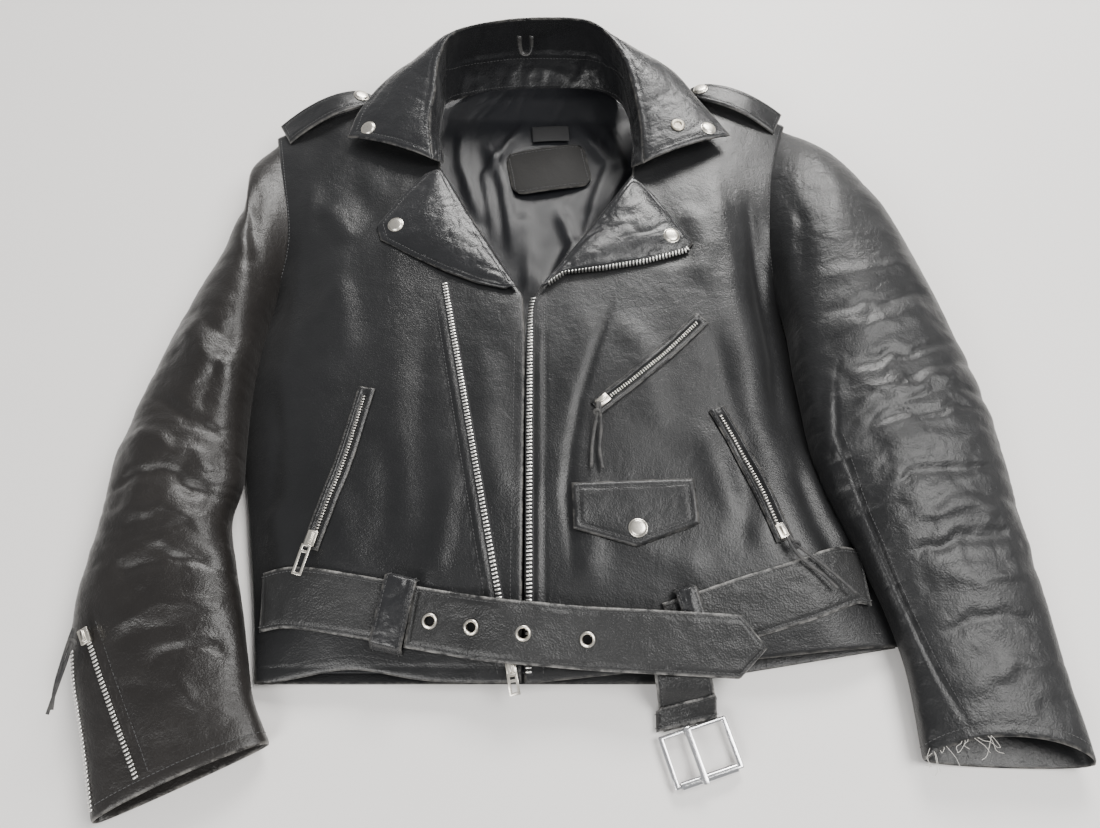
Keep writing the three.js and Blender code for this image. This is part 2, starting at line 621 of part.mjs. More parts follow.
function makePocketZips() {
  const pull = mesh('right_pocket_pull', pullGeometry(), NICKEL);
  const leftThong = mesh('left_pocket_thong', thongGeometry(LEFT_THONG.length), BLACK_LEATHER);
  const chestThong = mesh('chest_thong', thongGeometry(CHEST_THONG.length), BLACK_LEATHER);
  leftThong.rotation.z = LEFT_THONG.turn;
  chestThong.rotation.z = CHEST_THONG.turn;
  return [
    makePocketZip('right_pocket', bodyTop, RIGHT_POCKET.start, RIGHT_POCKET.end, POCKET_WELT, pull),
    makePocketZip('left_pocket', bodyTop, LEFT_POCKET.start, LEFT_POCKET.end, POCKET_WELT, leftThong),
    makePocketZip('chest', bodyTop, CHEST_POCKET.start, CHEST_POCKET.end, POCKET_WELT, chestThong),
  ];
}

function makeCuffZip() {
  const thong = mesh('cuff_thong', thongGeometry(CUFF_THONG.length), BLACK_LEATHER);
  thong.rotation.z = CUFF_THONG.turn;
  const height = heightOf(topHalf(RIGHT_SLEEVE));
  return makePocketZip('cuff', height, CUFF_ZIP.start, CUFF_ZIP.end, CUFF_ZIP_WIDTH, thong);
}

function makeMainSlider() {
  const chainTop = MAIN_ZIP_CLEARANCE + ZIP_THICKNESS;
  const travelShare = 0.2; // of the chain, straight enough to slide on
  const pullInset = 3;
  const start = vector(RIGHT_CHAIN[0]);
  const end = start.clone().lerp(vector(RIGHT_CHAIN[1]), travelShare);
  const bench = benchOn(bodyTop, start.toArray(), end.toArray(), SLIDER.width / 2, chainTop + GAP);
  const slider = mesh('main_slider', sliderGeometry(), NICKEL);
  const pull = mesh('main_pull', pullGeometry(PULL.shortLength), NICKEL);
  pull.position.set(0, pullInset, SLIDER.height + GAP);
  bench.add(slider, pull);
  return bench;
}

// ---- Flap pocket ----
function makeFlap() {
  const hinge = [grade([18, -83]), grade([114, -76])];
  const lean = 2; // how far its foot stands to the side of its middle
  const clearance = 1;
  const centre = middle(hinge[0], hinge[1]);
  const foot = [centre[0] + lean, centre[1] - FLAP.point];
  const bench = benchOn(bodyTop, foot, centre, FLAP.width / 2, clearance);
  const half = FLAP.width / 2;
  const top = FLAP.point;
  const shape = [[-half, top - FLAP.side], [0, 0], [half, top - FLAP.side], [half, top], [-half, top]];
  const flap = mesh('pocket_flap', plate(shape, FLAP.thickness), BLACK_LEATHER);
  const snap = mesh('flap_snap', snapGeometry(), NICKEL);
  snap.position.set(lean / 2, FLAP.snapInset, FLAP.thickness + GAP);
  bench.add(flap, snap);
  return bench;
}

// ---- Epaulettes ----
function makeEpaulette(side, root, tip) {
  const { width, length, thickness, point, snapInset, taper } = EPAULETTE;
  const bench = benchOn(bodyTop, root, tip, width / 2, 3 * GAP);
  const half = width / 2;
  const narrow = half * taper;
  const shape = [[-half, 0], [half, 0], [narrow, length - point], [0, length], [-narrow, length - point]];
  const strap = mesh(`${side}_epaulette`, plate(shape, thickness), BLACK_LEATHER);
  const snap = mesh(`${side}_epaulette_snap`, snapGeometry(), NICKEL);
  snap.position.set(0, length - snapInset, thickness + GAP);
  bench.add(strap, snap);
  return bench;
}

// ---- Belt ----
const BELT_SEAT = 3; // under the belt, where it lies on the fronts
// Height under the tongue, as [x, height]: it rides over the zips, the left belt and its strap.
const TONGUE_SEAT = [[-112, 3], [-70, 4], [-45, 11], [-10, 11], [20, 8], [70, 13], [160, 13]];
const beltLine = (points) => brokenLine(points.map(grade));
const SIDE_BELT = beltLine([[-226, -171], [-198, -170], [-132, -180], [-113, -184]]);
const TONGUE = beltLine([[-107, -185], [-76, -190], [-42, -196], [8, -200], [66, -204], [141, -208]]);
const LEFT_BELT = beltLine([[248, -152], [232, -152], [196, -165], [155, -177], [124, -187], [94, -196]]);

function beltSurface(line, seat) {
  const height = (x, y) => bodyTop(x, y) + seat(x);
  return stripOn(line, height, BELT_WIDTH, BELT_THICKNESS, 0);
}

const sideBelt = beltSurface(SIDE_BELT, () => BELT_SEAT);
const leftBelt = beltSurface(LEFT_BELT, () => BELT_SEAT);
const tongue = beltSurface(TONGUE, (x) => read(TONGUE_SEAT, x));
const EYELETS = [[-91, -188], [-59, -193], [-20, -198], [28, -202]].map(grade);
const TIP_LENGTH = 20;

// The tongue narrows to a point over its last stretch.
function pointedTongue(u, v) {
  const share = 0.86; // of the strip, before the point
  const narrowing = 0.8;
  const body = TONGUE(1);
  if (v <= share) return tongue(u, v / share);
  const t = (v - share) / (1 - share);
  const point = tongue(0.5 + (u - 0.5) * (1 - narrowing * t), 1);
  point.x = body.x + TIP_LENGTH * t;
  point.z = bodyTop(point.x, point.y) + read(TONGUE_SEAT, point.x) + BELT_THICKNESS;
  return point;
}

function makeTongue() {
  const height = heightOf(tongue, FINE_STEPS);
  const holeDepth = 24; // right through, with the tongue lying at a slant
  const pieces = [];
  const holes = EYELETS.map((place, i) => {
    const start = [place[0], place[1] - EYELET.flange];
    const end = [place[0], place[1] + EYELET.flange];
    const bench = benchOn(height, start, end, EYELET.flange, 2 * GAP);
    const eyelet = mesh(`eyelet_${i + 1}`, eyeletGeometry(), NICKEL);
    eyelet.position.y = EYELET.flange;
    bench.add(eyelet);
    bench.updateMatrixWorld(true);
    pieces.push(bench);
    const bore = EYELET.barrel + EYELET.clearance;
    const hole = new THREE.CylinderGeometry(bore, bore, holeDepth, HOLE_SEGMENTS)
      .rotateX(Math.PI / 2);
    return hole.applyMatrix4(eyelet.matrixWorld);
  });
  const strap = sheet(pointedTongue, BELT_ACROSS, TONGUE_ALONG, BELT_THICKNESS);
  return [mesh('belt_tongue', cut(strap, holes), BELT_LEATHER), ...pieces];
}

function eyeletGeometry() {
  const { hole, barrel, flange, flangeEdge, crown } = EYELET;
  const lip = crown - 0.5; // the mouth is rolled in a little below the crown
  const profile = [[hole, -BELT_THICKNESS], [barrel, -BELT_THICKNESS], [barrel, 0], [flange, 0],
    [flange, flangeEdge], [hole + 1, crown], [hole, lip], [hole, -BELT_THICKNESS]];
  return new THREE.LatheGeometry(profile.map(([r, z]) => new THREE.Vector2(r, z)), EYELET_SEGMENTS)
    .rotateX(Math.PI / 2);
}

// Where each loop stands, how far it leans with its belt, and how far it stands over it.
const RIGHT_LOOP = { place: grade([-123, -181.5]), lean: 0.21, rise: 4 };
const LEFT_LOOP = { place: grade([110, -190.5]), lean: -0.29, rise: 3 };

// A belt loop is a strip sewn down on both sides of the belt.
function makeLoop(name, place, lean, rise) {
  const half = BELT_WIDTH / 2 + LOOP_CLEARANCE;
  const leg = LEATHER * LOOP_LAYERS;
  const reach = [(half + leg) * Math.sin(lean), (half + leg) * Math.cos(lean)];
  const start = [place[0] - reach[0], place[1] - reach[1]];
  const end = [place[0] + reach[0], place[1] + reach[1]];
  const bench = benchOn(bodyTop, start, end, LOOP_WIDTH / 2, GAP);
  const top = BELT_SEAT + BELT_THICKNESS + rise;
  const arch = [[-half - leg, 0], [-half, 0], [-half, top], [half, top], [half, 0], [half + leg, 0],
    [half + leg, top + leg], [-half - leg, top + leg]];
  const loop = new THREE.ExtrudeGeometry(outline(arch), { depth: LOOP_WIDTH, bevelEnabled: false });
  loop.rotateX(Math.PI / 2);
  loop.rotateZ(Math.PI / 2);
  loop.translate(-LOOP_WIDTH / 2, half + leg, 0);
  const piece = mesh(name, loop, GLOSSY_LEATHER);
  bench.add(piece);
  return bench;
}

function makeBelts() {
  return [
    mesh('belt_side', sheet(sideBelt, BELT_ACROSS, SIDE_BELT_ALONG, BELT_THICKNESS), BELT_LEATHER),
    mesh('belt_left', sheet(leftBelt, BELT_ACROSS, LEFT_BELT_ALONG, BELT_THICKNESS), BELT_LEATHER),
    makeLoop('belt_loop_right', RIGHT_LOOP.place, RIGHT_LOOP.lean, RIGHT_LOOP.rise),
    makeLoop('belt_loop_left', LEFT_LOOP.place, LEFT_LOOP.lean, LEFT_LOOP.rise),
  ];
}

// ---- Buckle ----
const BUCKLE_PLACE = grade([106, -262]);
const BUCKLE_YAW = 0.3;
const STRAP_GAP = 6; // from the left loop's foot to the strap's start, under the tongue
const STRAP_START = [gradeX(98), LEFT_LOOP.place[1] - STRAP_GAP
  - (BELT_WIDTH / 2 + LOOP_CLEARANCE + LEATHER * LOOP_LAYERS) * Math.cos(LEFT_LOOP.lean)
  - LOOP_WIDTH / 2 * Math.abs(Math.sin(LEFT_LOOP.lean))];
const STRAP_END_GAP = 6; // from the strap's end to the buckle's bar
const HEM_Y = gradeY(-232);
// Height under the strap, as [y, height]: it drops over the hem to the surface.
const STRAP_SEAT = [[BUCKLE_PLACE[1], 2], [HEM_Y - 20, 5], [HEM_Y - 8, 19], [HEM_Y, 23.5],
  [STRAP_START[1], 25.5]];

function strapSurface(u, v) {
  const [startX, startY] = STRAP_START;
  const y = startY + (BUCKLE_PLACE[1] + STRAP_END_GAP - startY) * v;
  const x = startX + (BUCKLE_PLACE[0] - startX) * v;
  const side = (0.5 - u) * STRAP_WIDTH;
  return new THREE.Vector3(x + side, y + BUCKLE_YAW * side * v, read(STRAP_SEAT, y) + BELT_THICKNESS);
}

function makeBuckle() {
  const { width, length, bar, roller, pivotHeight, sideBar, play } = BUCKLE;
  const half = width / 2;
  const round = bar / 2;
  const ring = plate(rectangle(-half, -length + round, half, round), bar,
    [rectangle(-half + sideBar, -length + bar + round, half - sideBar, -round)]);
  const frame = mesh('buckle_frame', ring.translate(0, 0, -round), CHROME);
  const rollerLength = width - 2 * sideBar - play;
  const boreClearance = 0.3;
  const bore = round * Math.SQRT2 + boreClearance;
  const tube = [[bore, 0], [roller, 0], [roller, rollerLength], [bore, rollerLength], [bore, 0]];
  const rollerMesh = mesh('buckle_roller', new THREE.LatheGeometry(
    tube.map(([r, z]) => new THREE.Vector2(r, z)), ROLLER_SEGMENTS).rotateZ(Math.PI / 2)
    .translate(rollerLength / 2, 0, 0), CHROME);
  rollerMesh.position.y = -length + bar;
  const eye = round * Math.SQRT2 + PRONG.eyeClearance;
  const outside = eye + PRONG.eyeWall;
  const rest = roller + PRONG.rise; // the prong's underside, where it lies on the roller
  const reach = length - bar;
  const tongueShape = new THREE.Shape();
  tongueShape.absarc(0, 0, outside, Math.PI * 0.5, Math.PI * 2, false);
  tongueShape.lineTo(outside, PRONG.stem);
  tongueShape.lineTo(reach - roller, rest);
  tongueShape.lineTo(reach + roller, rest);
  tongueShape.lineTo(reach + roller, rest + PRONG.thickness);
  tongueShape.lineTo(reach - roller, rest + PRONG.thickness);
  const hole = new THREE.Path();
  hole.absarc(0, 0, eye, 0, Math.PI * 2, true);
  tongueShape.holes.push(hole);
  const side = new THREE.ExtrudeGeometry(tongueShape,
    { depth: PRONG.width, bevelEnabled: false, curveSegments: 8 });
  side.rotateX(Math.PI / 2).rotateZ(-Math.PI / 2).translate(-PRONG.width / 2, 0, 0);
  const prong = mesh('buckle_prong', side, CHROME);
  const buckle = new THREE.Group();
  buckle.position.set(BUCKLE_PLACE[0], BUCKLE_PLACE[1], pivotHeight);
  buckle.rotation.z = BUCKLE_YAW;
  buckle.add(frame, rollerMesh, prong);
  return [mesh('buckle_strap', sheet(strapSurface, ...STRAP_GRID, BELT_THICKNESS), BELT_LEATHER), buckle];
}

// ---- The whole jacket ----
const rightLapelHeight = heightOf(rightLapelSurface);
const leftLapelHeight = heightOf(leftLapelSurface);
const collarHeight = heightOf(collarFall, FINE_STEPS);

const jacket = new THREE.Group();
jacket.add(
  ...makeBack(),
  makeYoke('right_yoke', RIGHT_TIP, RIGHT_NECK),
  makeYoke('left_yoke', LEFT_TIP, LEFT_NECK),
  ...makeFronts(),
  ...makeCollar(),
  makeHanger(),
  makeLabel(),
  ...makeLapels(),
  ...makeSleeve('right', RIGHT_SLEEVE),
  ...makeSleeve('left', LEFT_SLEEVE),
  ...makeMainZip(),
  makeLapelZip(),
  makeMainSlider(),
  ...makePocketZips(),
  makeCuffZip(),
  makeFlap(),
  makeEpaulette('right', grade([-264, 289]), grade([-180, 334])),
  makeEpaulette('left', grade([229, 304]), grade([141, 343])),
  ...makeBelts(),
  ...makeTongue(),
  ...makeBuckle(),
  snapOn('right_collar_snap', collarHeight, grade([-175, 276])),
  snapOn('left_collar_snap', collarHeight, grade([152, 274])),
  snapOn('left_collar_stud', collarHeight, grade([122, 274])),
  snapOn('right_lapel_snap', rightLapelHeight, grade([-141, 166])),
  snapOn('left_lapel_snap', leftLapelHeight, grade([110, 153])),
);

// The origin is under the middle of the jacket, on the surface that it lies on.
jacket.updateMatrixWorld(true);
const extent = new THREE.Box3().setFromObject(jacket, true);
const middlePoint = extent.getCenter(new THREE.Vector3());
jacket.position.set(-middlePoint.x, -middlePoint.y, 0);

export default jacket;
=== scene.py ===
import json
import math

import bmesh
import bpy
import numpy as np
from mathutils import Matrix, Vector
from mathutils.bvhtree import BVHTree

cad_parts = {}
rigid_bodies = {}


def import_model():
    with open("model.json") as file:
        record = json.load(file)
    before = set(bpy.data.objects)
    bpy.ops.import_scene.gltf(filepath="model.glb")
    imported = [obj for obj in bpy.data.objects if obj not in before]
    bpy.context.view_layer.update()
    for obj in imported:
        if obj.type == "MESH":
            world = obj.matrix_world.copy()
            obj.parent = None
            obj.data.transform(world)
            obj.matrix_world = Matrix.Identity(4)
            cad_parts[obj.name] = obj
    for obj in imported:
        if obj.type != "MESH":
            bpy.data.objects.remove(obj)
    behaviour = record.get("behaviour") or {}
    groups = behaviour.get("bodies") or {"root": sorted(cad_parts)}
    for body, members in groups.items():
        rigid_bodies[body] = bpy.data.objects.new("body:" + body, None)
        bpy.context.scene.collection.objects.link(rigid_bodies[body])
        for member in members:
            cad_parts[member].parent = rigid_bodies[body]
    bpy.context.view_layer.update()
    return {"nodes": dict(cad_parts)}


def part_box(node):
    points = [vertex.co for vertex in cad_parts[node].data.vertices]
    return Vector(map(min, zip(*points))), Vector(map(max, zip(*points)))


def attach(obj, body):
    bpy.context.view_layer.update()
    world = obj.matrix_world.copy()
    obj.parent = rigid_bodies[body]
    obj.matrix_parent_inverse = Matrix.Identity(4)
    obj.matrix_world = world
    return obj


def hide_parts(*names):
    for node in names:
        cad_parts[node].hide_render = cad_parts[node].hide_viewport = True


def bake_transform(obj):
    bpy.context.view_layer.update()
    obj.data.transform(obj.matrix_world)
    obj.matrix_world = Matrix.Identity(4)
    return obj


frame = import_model()

# ---- The view, the table and the light ----
# The jacket lies open on a pale table and is looked at from above its hem, leaning in towards
# the collar. The light is soft and comes from overhead and from beyond the collar.
MM = 0.001
# The pattern is drawn in millimetres from the foot of the front opening, which lies here.
ZIP_LINE_X = -16.0
ZIP_FOOT_Y = -226.0
zip_low, zip_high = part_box("main_zip_left")
ORIGIN = np.array([(zip_low.x + zip_high.x) / 2 - ZIP_LINE_X * MM, zip_low.y - ZIP_FOOT_Y * MM, 0.0])


def place(points):
    """Pattern millimetres to metres in the frame."""
    return np.asarray(points, float) * MM + ORIGIN


def unplace(points):
    """Metres in the frame to pattern millimetres."""
    return (np.asarray(points, float) - ORIGIN) / MM


VIEW_TILT = math.radians(25.3)
VIEW_POINT = [0, -315, 667]
LENS, SENSOR = 27.2, 36
camera = bpy.data.objects.new("camera", bpy.data.cameras.new("camera"))
camera.data.lens = LENS
camera.data.sensor_width = SENSOR
camera.data.clip_start = 0.01
camera.location = Vector(place(VIEW_POINT))
camera.rotation_euler = (VIEW_TILT, 0, 0)
bpy.context.scene.collection.objects.link(camera)
bpy.context.scene.camera = camera


def softbox(name, spot, aim, size, power, tint):
    lamp = bpy.data.objects.new(name, bpy.data.lights.new(name, "AREA"))
    lamp.data.shape = "RECTANGLE"
    lamp.data.size, lamp.data.size_y = size
    lamp.data.energy = power
    lamp.data.color = tint
    lamp.location = spot
    lamp.rotation_euler = (Vector(aim) - Vector(spot)).to_track_quat("-Z", "Y").to_euler()
    bpy.context.scene.collection.objects.link(lamp)


softbox("window_light", (0.5, 2.0, 1.5), (0, 0.1, 0), (1.3, 0.7), 82, (1, 0.985, 0.96))
softbox("ceiling_light", (1.25, 0.0, 2.0), (0, 0, 0), (1.2, 1.2), 58, (1, 0.99, 0.97))
softbox("room_fill", (-0.9, -1.7, 1.3), (0, 0.2, 0), (1.2, 0.8), 34, (1, 0.99, 0.97))
ROOM_TINT, ROOM_STRENGTH = (0.97, 0.98, 1, 1), 0.42
world = bpy.data.worlds.new("room")
bpy.context.scene.world = world
world.use_nodes = True
world.node_tree.nodes["Background"].inputs["Color"].default_value = ROOM_TINT
world.node_tree.nodes["Background"].inputs["Strength"].default_value = ROOM_STRENGTH


class Paint:
    """A Principled material whose textures all read the piece's own Object coordinates."""

    def __init__(self, name):
        self.material = bpy.data.materials.new(name)
        self.material.use_nodes = True
        self.nodes = self.material.node_tree.nodes
        self.links = self.material.node_tree.links
        self.shader = self.nodes["Principled BSDF"]
        self.where = self.nodes.new("ShaderNodeTexCoord").outputs["Object"]

    def set(self, **values):
        for key, value in values.items():
            self.shader.inputs[key.replace("_", " ")].default_value = value

    def texture(self, kind, scale, **values):
        node = self.nodes.new(kind)
        node.inputs["Scale"].default_value = scale
        for key, value in values.items():
            node.inputs[key].default_value = value
        self.links.new(self.where, node.inputs["Vector"])
        return node

    def maths(self, kind, a, b, clamp=False):
        node = self.nodes.new("ShaderNodeMath")
        node.operation = kind
        node.use_clamp = clamp
        for socket, value in zip(node.inputs, (a, b)):
            if isinstance(value, (int, float)):
                socket.default_value = value
            else:
                self.links.new(value, socket)
        return node.outputs[0]

    def spread(self, value, low, high, to_low, to_high):
        node = self.nodes.new("ShaderNodeMapRange")
        names = ("From Min", "From Max", "To Min", "To Max")
        for key, number in zip(names, (low, high, to_low, to_high)):
            node.inputs[key].default_value = number
        self.links.new(value, node.inputs["Value"])
        return node.outputs[0]

    def mix(self, factor, a, b):
        node = self.nodes.new("ShaderNodeMix")
        node.data_type = "RGBA"
        self.links.new(factor, node.inputs["Factor"])
        for key, value in (("A", a), ("B", b)):
            socket = [s for s in node.inputs if s.name == key and s.type == "RGBA"][0]
            if isinstance(value, tuple):
                socket.default_value = (*value, 1)
            else:
                self.links.new(value, socket)
        return [s for s in node.outputs if s.type == "RGBA"][0]

    def bump(self, height, depth_mm, under=None):
        node = self.nodes.new("ShaderNodeBump")
        node.inputs["Distance"].default_value = depth_mm * MM
        self.links.new(height, node.inputs["Height"])
        if under is not None:
            self.links.new(under, node.inputs["Normal"])
        return node.outputs["Normal"]

    def plug(self, **sockets):
        for key, value in sockets.items():
            self.links.new(value, self.shader.inputs[key.replace("_", " ")])
        return self.material


table_paint = Paint("table_paint")
mottle = table_paint.texture("ShaderNodeTexNoise", 1.4, Detail=3).outputs["Fac"]
table_paint.set(Roughness=0.5)
table_paint.plug(Base_Color=table_paint.mix(mottle, (0.78, 0.76, 0.74), (0.84, 0.82, 0.80)))
TABLE_HALF = 4.0
TABLE_DROP = 0.0004
table_mesh = bpy.data.meshes.new("table")
corners = [(x * TABLE_HALF, y * TABLE_HALF, 0) for x, y in ((-1, -1), (1, -1), (1, 1), (-1, 1))]
table_mesh.from_pydata(corners, [], [(0, 1, 2, 3)])
table_mesh.materials.append(table_paint.material)
table = bpy.data.objects.new("table", table_mesh)
table.location.z = -TABLE_DROP
bpy.context.scene.collection.objects.link(table)


# ---- Back panel and yokes ----
# The back is one flat piece of black cowhide under everything, with a yoke over each shoulder,
# sewn to the fronts. The fronts lie on the body's swell, lowest at the hem and the side seams.
def smooth(table, at):
    """Reads a smooth curve through [station, value] pairs."""
    stations, values = np.array(table, float).T
    slopes = np.gradient(values, stations)
    i = np.clip(np.searchsorted(stations, at) - 1, 0, len(stations) - 2)
    span = stations[i + 1] - stations[i]
    t = np.clip((at - stations[i]) / span, 0, 1)
    a, b = values[i], values[i + 1]
    slope_a, slope_b = slopes[i] * span, slopes[i + 1] * span
    return ((2 * t ** 3 - 3 * t ** 2 + 1) * a + (t ** 3 - 2 * t ** 2 + t) * slope_a
            + (3 * t ** 2 - 2 * t ** 3) * b + (t ** 3 - t ** 2) * slope_b)


RIGHT_SIDE = [[-231, -225], [-147, -240], [-83, -254], [-38, -263], [10, -269], [60, -268],
              [116, -255], [170, -248], [240, -261], [288, -272]]
LEFT_SIDE = [[-203, 271], [-165, 262], [-120, 253], [-88, 244], [-20, 228], [44, 221],
             [104, 213], [160, 209], [235, 216], [305, 236]]
DEPTH = 46
CREST = [[-232, 0.35], [-190, 0.58], [-150, 0.79], [-90, 0.93], [0, 1], [240, 1], [370, 0.92]]
SIDE_HEIGHT = [[-232, 0.18], [-60, 0.18], [50, 0.18], [90, 0.22], [130, 0.5], [200, 0.86],
               [260, 0.84], [300, 0.74], [370, 0.82]]
SIDE_ROLL = 70


def body_top(x, y):
    from_side = np.minimum(x - smooth(RIGHT_SIDE, y), smooth(LEFT_SIDE, y) - x)
    share = np.clip(from_side / SIDE_ROLL, 0, 1)
    edge = smooth(SIDE_HEIGHT, y) * DEPTH
    return edge + (smooth(CREST, y) * DEPTH - edge) * np.sin(share * math.pi / 2)


def polyline(points):
    """A broken line through the points: a function of 0 to 1, with equal steps between points."""
    points = np.array(points, float)
    steps = np.arange(len(points)) / (len(points) - 1)
    return lambda t: np.stack([np.interp(t, steps, column) for column in points.T], -1)


def curve(points):
    """A smooth line through the points: a function of 0 to 1."""
    points = np.array(points, float)
    steps = np.arange(len(points)) / (len(points) - 1)
    tables = [np.stack([steps, column], 1) for column in points.T]
    return lambda t: np.stack([smooth(table, t) for table in tables], -1)


lattice = np.random.default_rng(11).random((64, 64))


def noise(x, y):
    """Smooth noise from -1 to 1 with cells one unit wide."""
    i, j = np.floor(x).astype(int), np.floor(y).astype(int)
    fx, fy = x - i, y - j
    fx, fy = fx * fx * (3 - 2 * fx), fy * fy * (3 - 2 * fy)
    at = lambda a, b: lattice[a % 64, b % 64]
    low = at(i, j) * (1 - fx) + at(i + 1, j) * fx
    high = at(i, j + 1) * (1 - fx) + at(i + 1, j + 1) * fx
    return 2 * (low * (1 - fy) + high * fy) - 1


def crumple(x, y, size, depth, turn=0.0, stretch=1.0):
    """Puffs with narrow creases between them, longer along `turn` by `stretch`."""
    a = (x * math.cos(turn) + y * math.sin(turn)) / (size * stretch)
    b = (-x * math.sin(turn) + y * math.cos(turn)) / size
    a, b = a + 0.5 * noise(0.7 * a + 5.3, 0.7 * b + 1.7), b + 0.5 * noise(0.8 * b + 2.9, a + 8.1)
    puff = lambda value: np.sqrt(np.abs(value) + 0.02) * 1.5 - 0.7
    return depth * (0.6 * puff(noise(a, b)) + 0.25 * puff(noise(2.3 * a + 7.7, 2.3 * b + 2.2))
                    + 0.35 * noise(0.6 * a + 3.1, 0.6 * b + 6.4))


def stroke(x, y, points, width, height):
    """A ridge (or, with a height below 0, a furrow) along a line of points, fading at its ends."""
    points = np.array(points, float)
    lengths = np.hypot(*np.diff(points, axis=0).T)
    total, run = lengths.sum(), 0.0
    best, where = np.full(np.shape(x), 1e9), np.zeros(np.shape(x))
    for (ax, ay), (bx, by), length in zip(points[:-1], points[1:], lengths):
        t = np.clip(((x - ax) * (bx - ax) + (y - ay) * (by - ay)) / length ** 2, 0, 1)
        away = np.hypot(x - ax - t * (bx - ax), y - ay - t * (by - ay))
        nearer = away < best
        where = np.where(nearer, (run + t * length) / total, where)
        best = np.where(nearer, away, best)
        run += length
    ends = np.clip(4 * where, 0, 1) * np.clip(4 * (1 - where), 0, 1)
    ends = ends * ends * (3 - 2 * ends)
    return height * ends * np.exp(-(best / width) ** 2)


def finish_mesh(name, points, faces, material, edge=None, uv=None):
    """A smooth-shaded piece from pattern millimetres."""
    mesh = bpy.data.meshes.new(name)
    mesh.from_pydata(place(points).tolist(), [], faces)
    if edge is not None:
        mesh.attributes.new("edge", "FLOAT", "POINT").data.foreach_set("value", edge.ravel())
    if uv is not None:
        layer = mesh.uv_layers.new(name="skin")
        corner = np.empty(len(mesh.loops), np.int32)
        mesh.loops.foreach_get("vertex_index", corner)
        layer.data.foreach_set("uv", uv[corner].astype(np.float32).ravel())
    mesh.shade_smooth()
    mesh.materials.append(material)
    piece = bpy.data.objects.new(name, mesh)
    bpy.context.scene.collection.objects.link(piece)
    return piece


EDGE_STATIONS = (0.0, 0.7, 1.6, 3.0)


def stations_over(length, step):
    """Grid stations from 0 to 1 over a length, with close ones next to both ends."""
    middle = np.linspace(EDGE_STATIONS[-1], length - EDGE_STATIONS[-1], max(int(length / step), 2))
    near = np.array(EDGE_STATIONS[:-1])
    return np.concatenate([near, middle, length - near[::-1]]) / length


grids = {}


def panel(name, surface, size, material, thick=1.4, step=3.0, relief=None, inside=(0, 0, -1),
          wrap=False):
    """A closed leather or cloth panel: a grid over surface(u, v), about size[0] by size[1] mm, with
    relief(x, y, u, v, edge) along its normal, rounded edges, and its thickness on the inside."""
    us = np.linspace(0, 1, int(size[0] / step), endpoint=False) if wrap else \
        stations_over(size[0], step)
    vs = stations_over(size[1], step)
    u, v = np.meshgrid(us, vs)
    points = surface(u, v)

    def measure(points):
        along_v = np.linalg.norm(np.diff(points, axis=0), axis=-1).cumsum(0)
        along_u = np.linalg.norm(np.diff(points, axis=1), axis=-1).cumsum(1)
        return np.pad(along_u, ((0, 0), (1, 0))), np.pad(along_v, ((1, 0), (0, 0)))

    def normals(points):
        if wrap:
            across = np.roll(points, -1, 1) - np.roll(points, 1, 1)
        else:
            across = np.gradient(points, axis=1)
        normal = np.cross(across, np.gradient(points, axis=0))
        return normal / (np.linalg.norm(normal, axis=-1, keepdims=True) + 1e-9)

    travel_u, travel_v = measure(points)
    edge = np.minimum(travel_v, travel_v[-1] - travel_v)
    if not wrap:
        edge = np.minimum(edge, np.minimum(travel_u, travel_u[:, -1:] - travel_u))
    normal = normals(points)
    centre = (len(vs) // 2, len(us) // (4 if wrap else 2))
    outwards = -np.sign(np.dot(normal[centre], inside))
    normal *= outwards
    if relief is not None:
        points = points + normal * relief(points[..., 0], points[..., 1], u, v, edge)[..., None]
        grids[name] = (points, normals(points) * outwards, travel_u, travel_v)
    else:
        grids[name] = (points, normal, travel_u, travel_v)
    drop = thick * 0.6 * np.clip(1 - edge / 3.0, 0, 1) ** 2
    outer = points - normal * drop[..., None]
    inner = points - normal * (thick - 0.3 * drop)[..., None]
    rows, columns = u.shape
    index = np.arange(rows * columns).reshape(rows, columns)
    if wrap:
        a, b = index[:-1], np.roll(index, -1, 1)[:-1]
        c, d = np.roll(index, -1, 1)[1:], index[1:]
        rims = [index[0], index[-1][::-1]]
    else:
        a, b, c, d = index[:-1, :-1], index[:-1, 1:], index[1:, 1:], index[1:, :-1]
        rims = [np.concatenate([index[0, :-1], index[:-1, -1], index[-1, :0:-1], index[:0:-1, 0]])]
    skin = np.stack([a, b, c, d], -1).reshape(-1, 4)
    count = rows * columns
    walls = [np.stack([np.roll(rim, -1), rim, rim + count, np.roll(rim, -1) + count], -1)
             for rim in rims]
    faces = np.concatenate([skin, (skin + count)[:, ::-1], *walls])
    if outwards < 0:
        faces = faces[:, ::-1]
    uv = np.stack([travel_u, travel_v], -1).reshape(-1, 2) * MM
    both = lambda values: np.concatenate([values, values])
    everything = np.concatenate([outer.reshape(-1, 3), inner.reshape(-1, 3)])
    return finish_mesh(name, everything, faces.tolist(), material, both(edge.ravel()), both(uv))


def belongs(piece, body, nodes=()):
    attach(piece, body)
    if nodes:
        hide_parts(*nodes)
    return piece


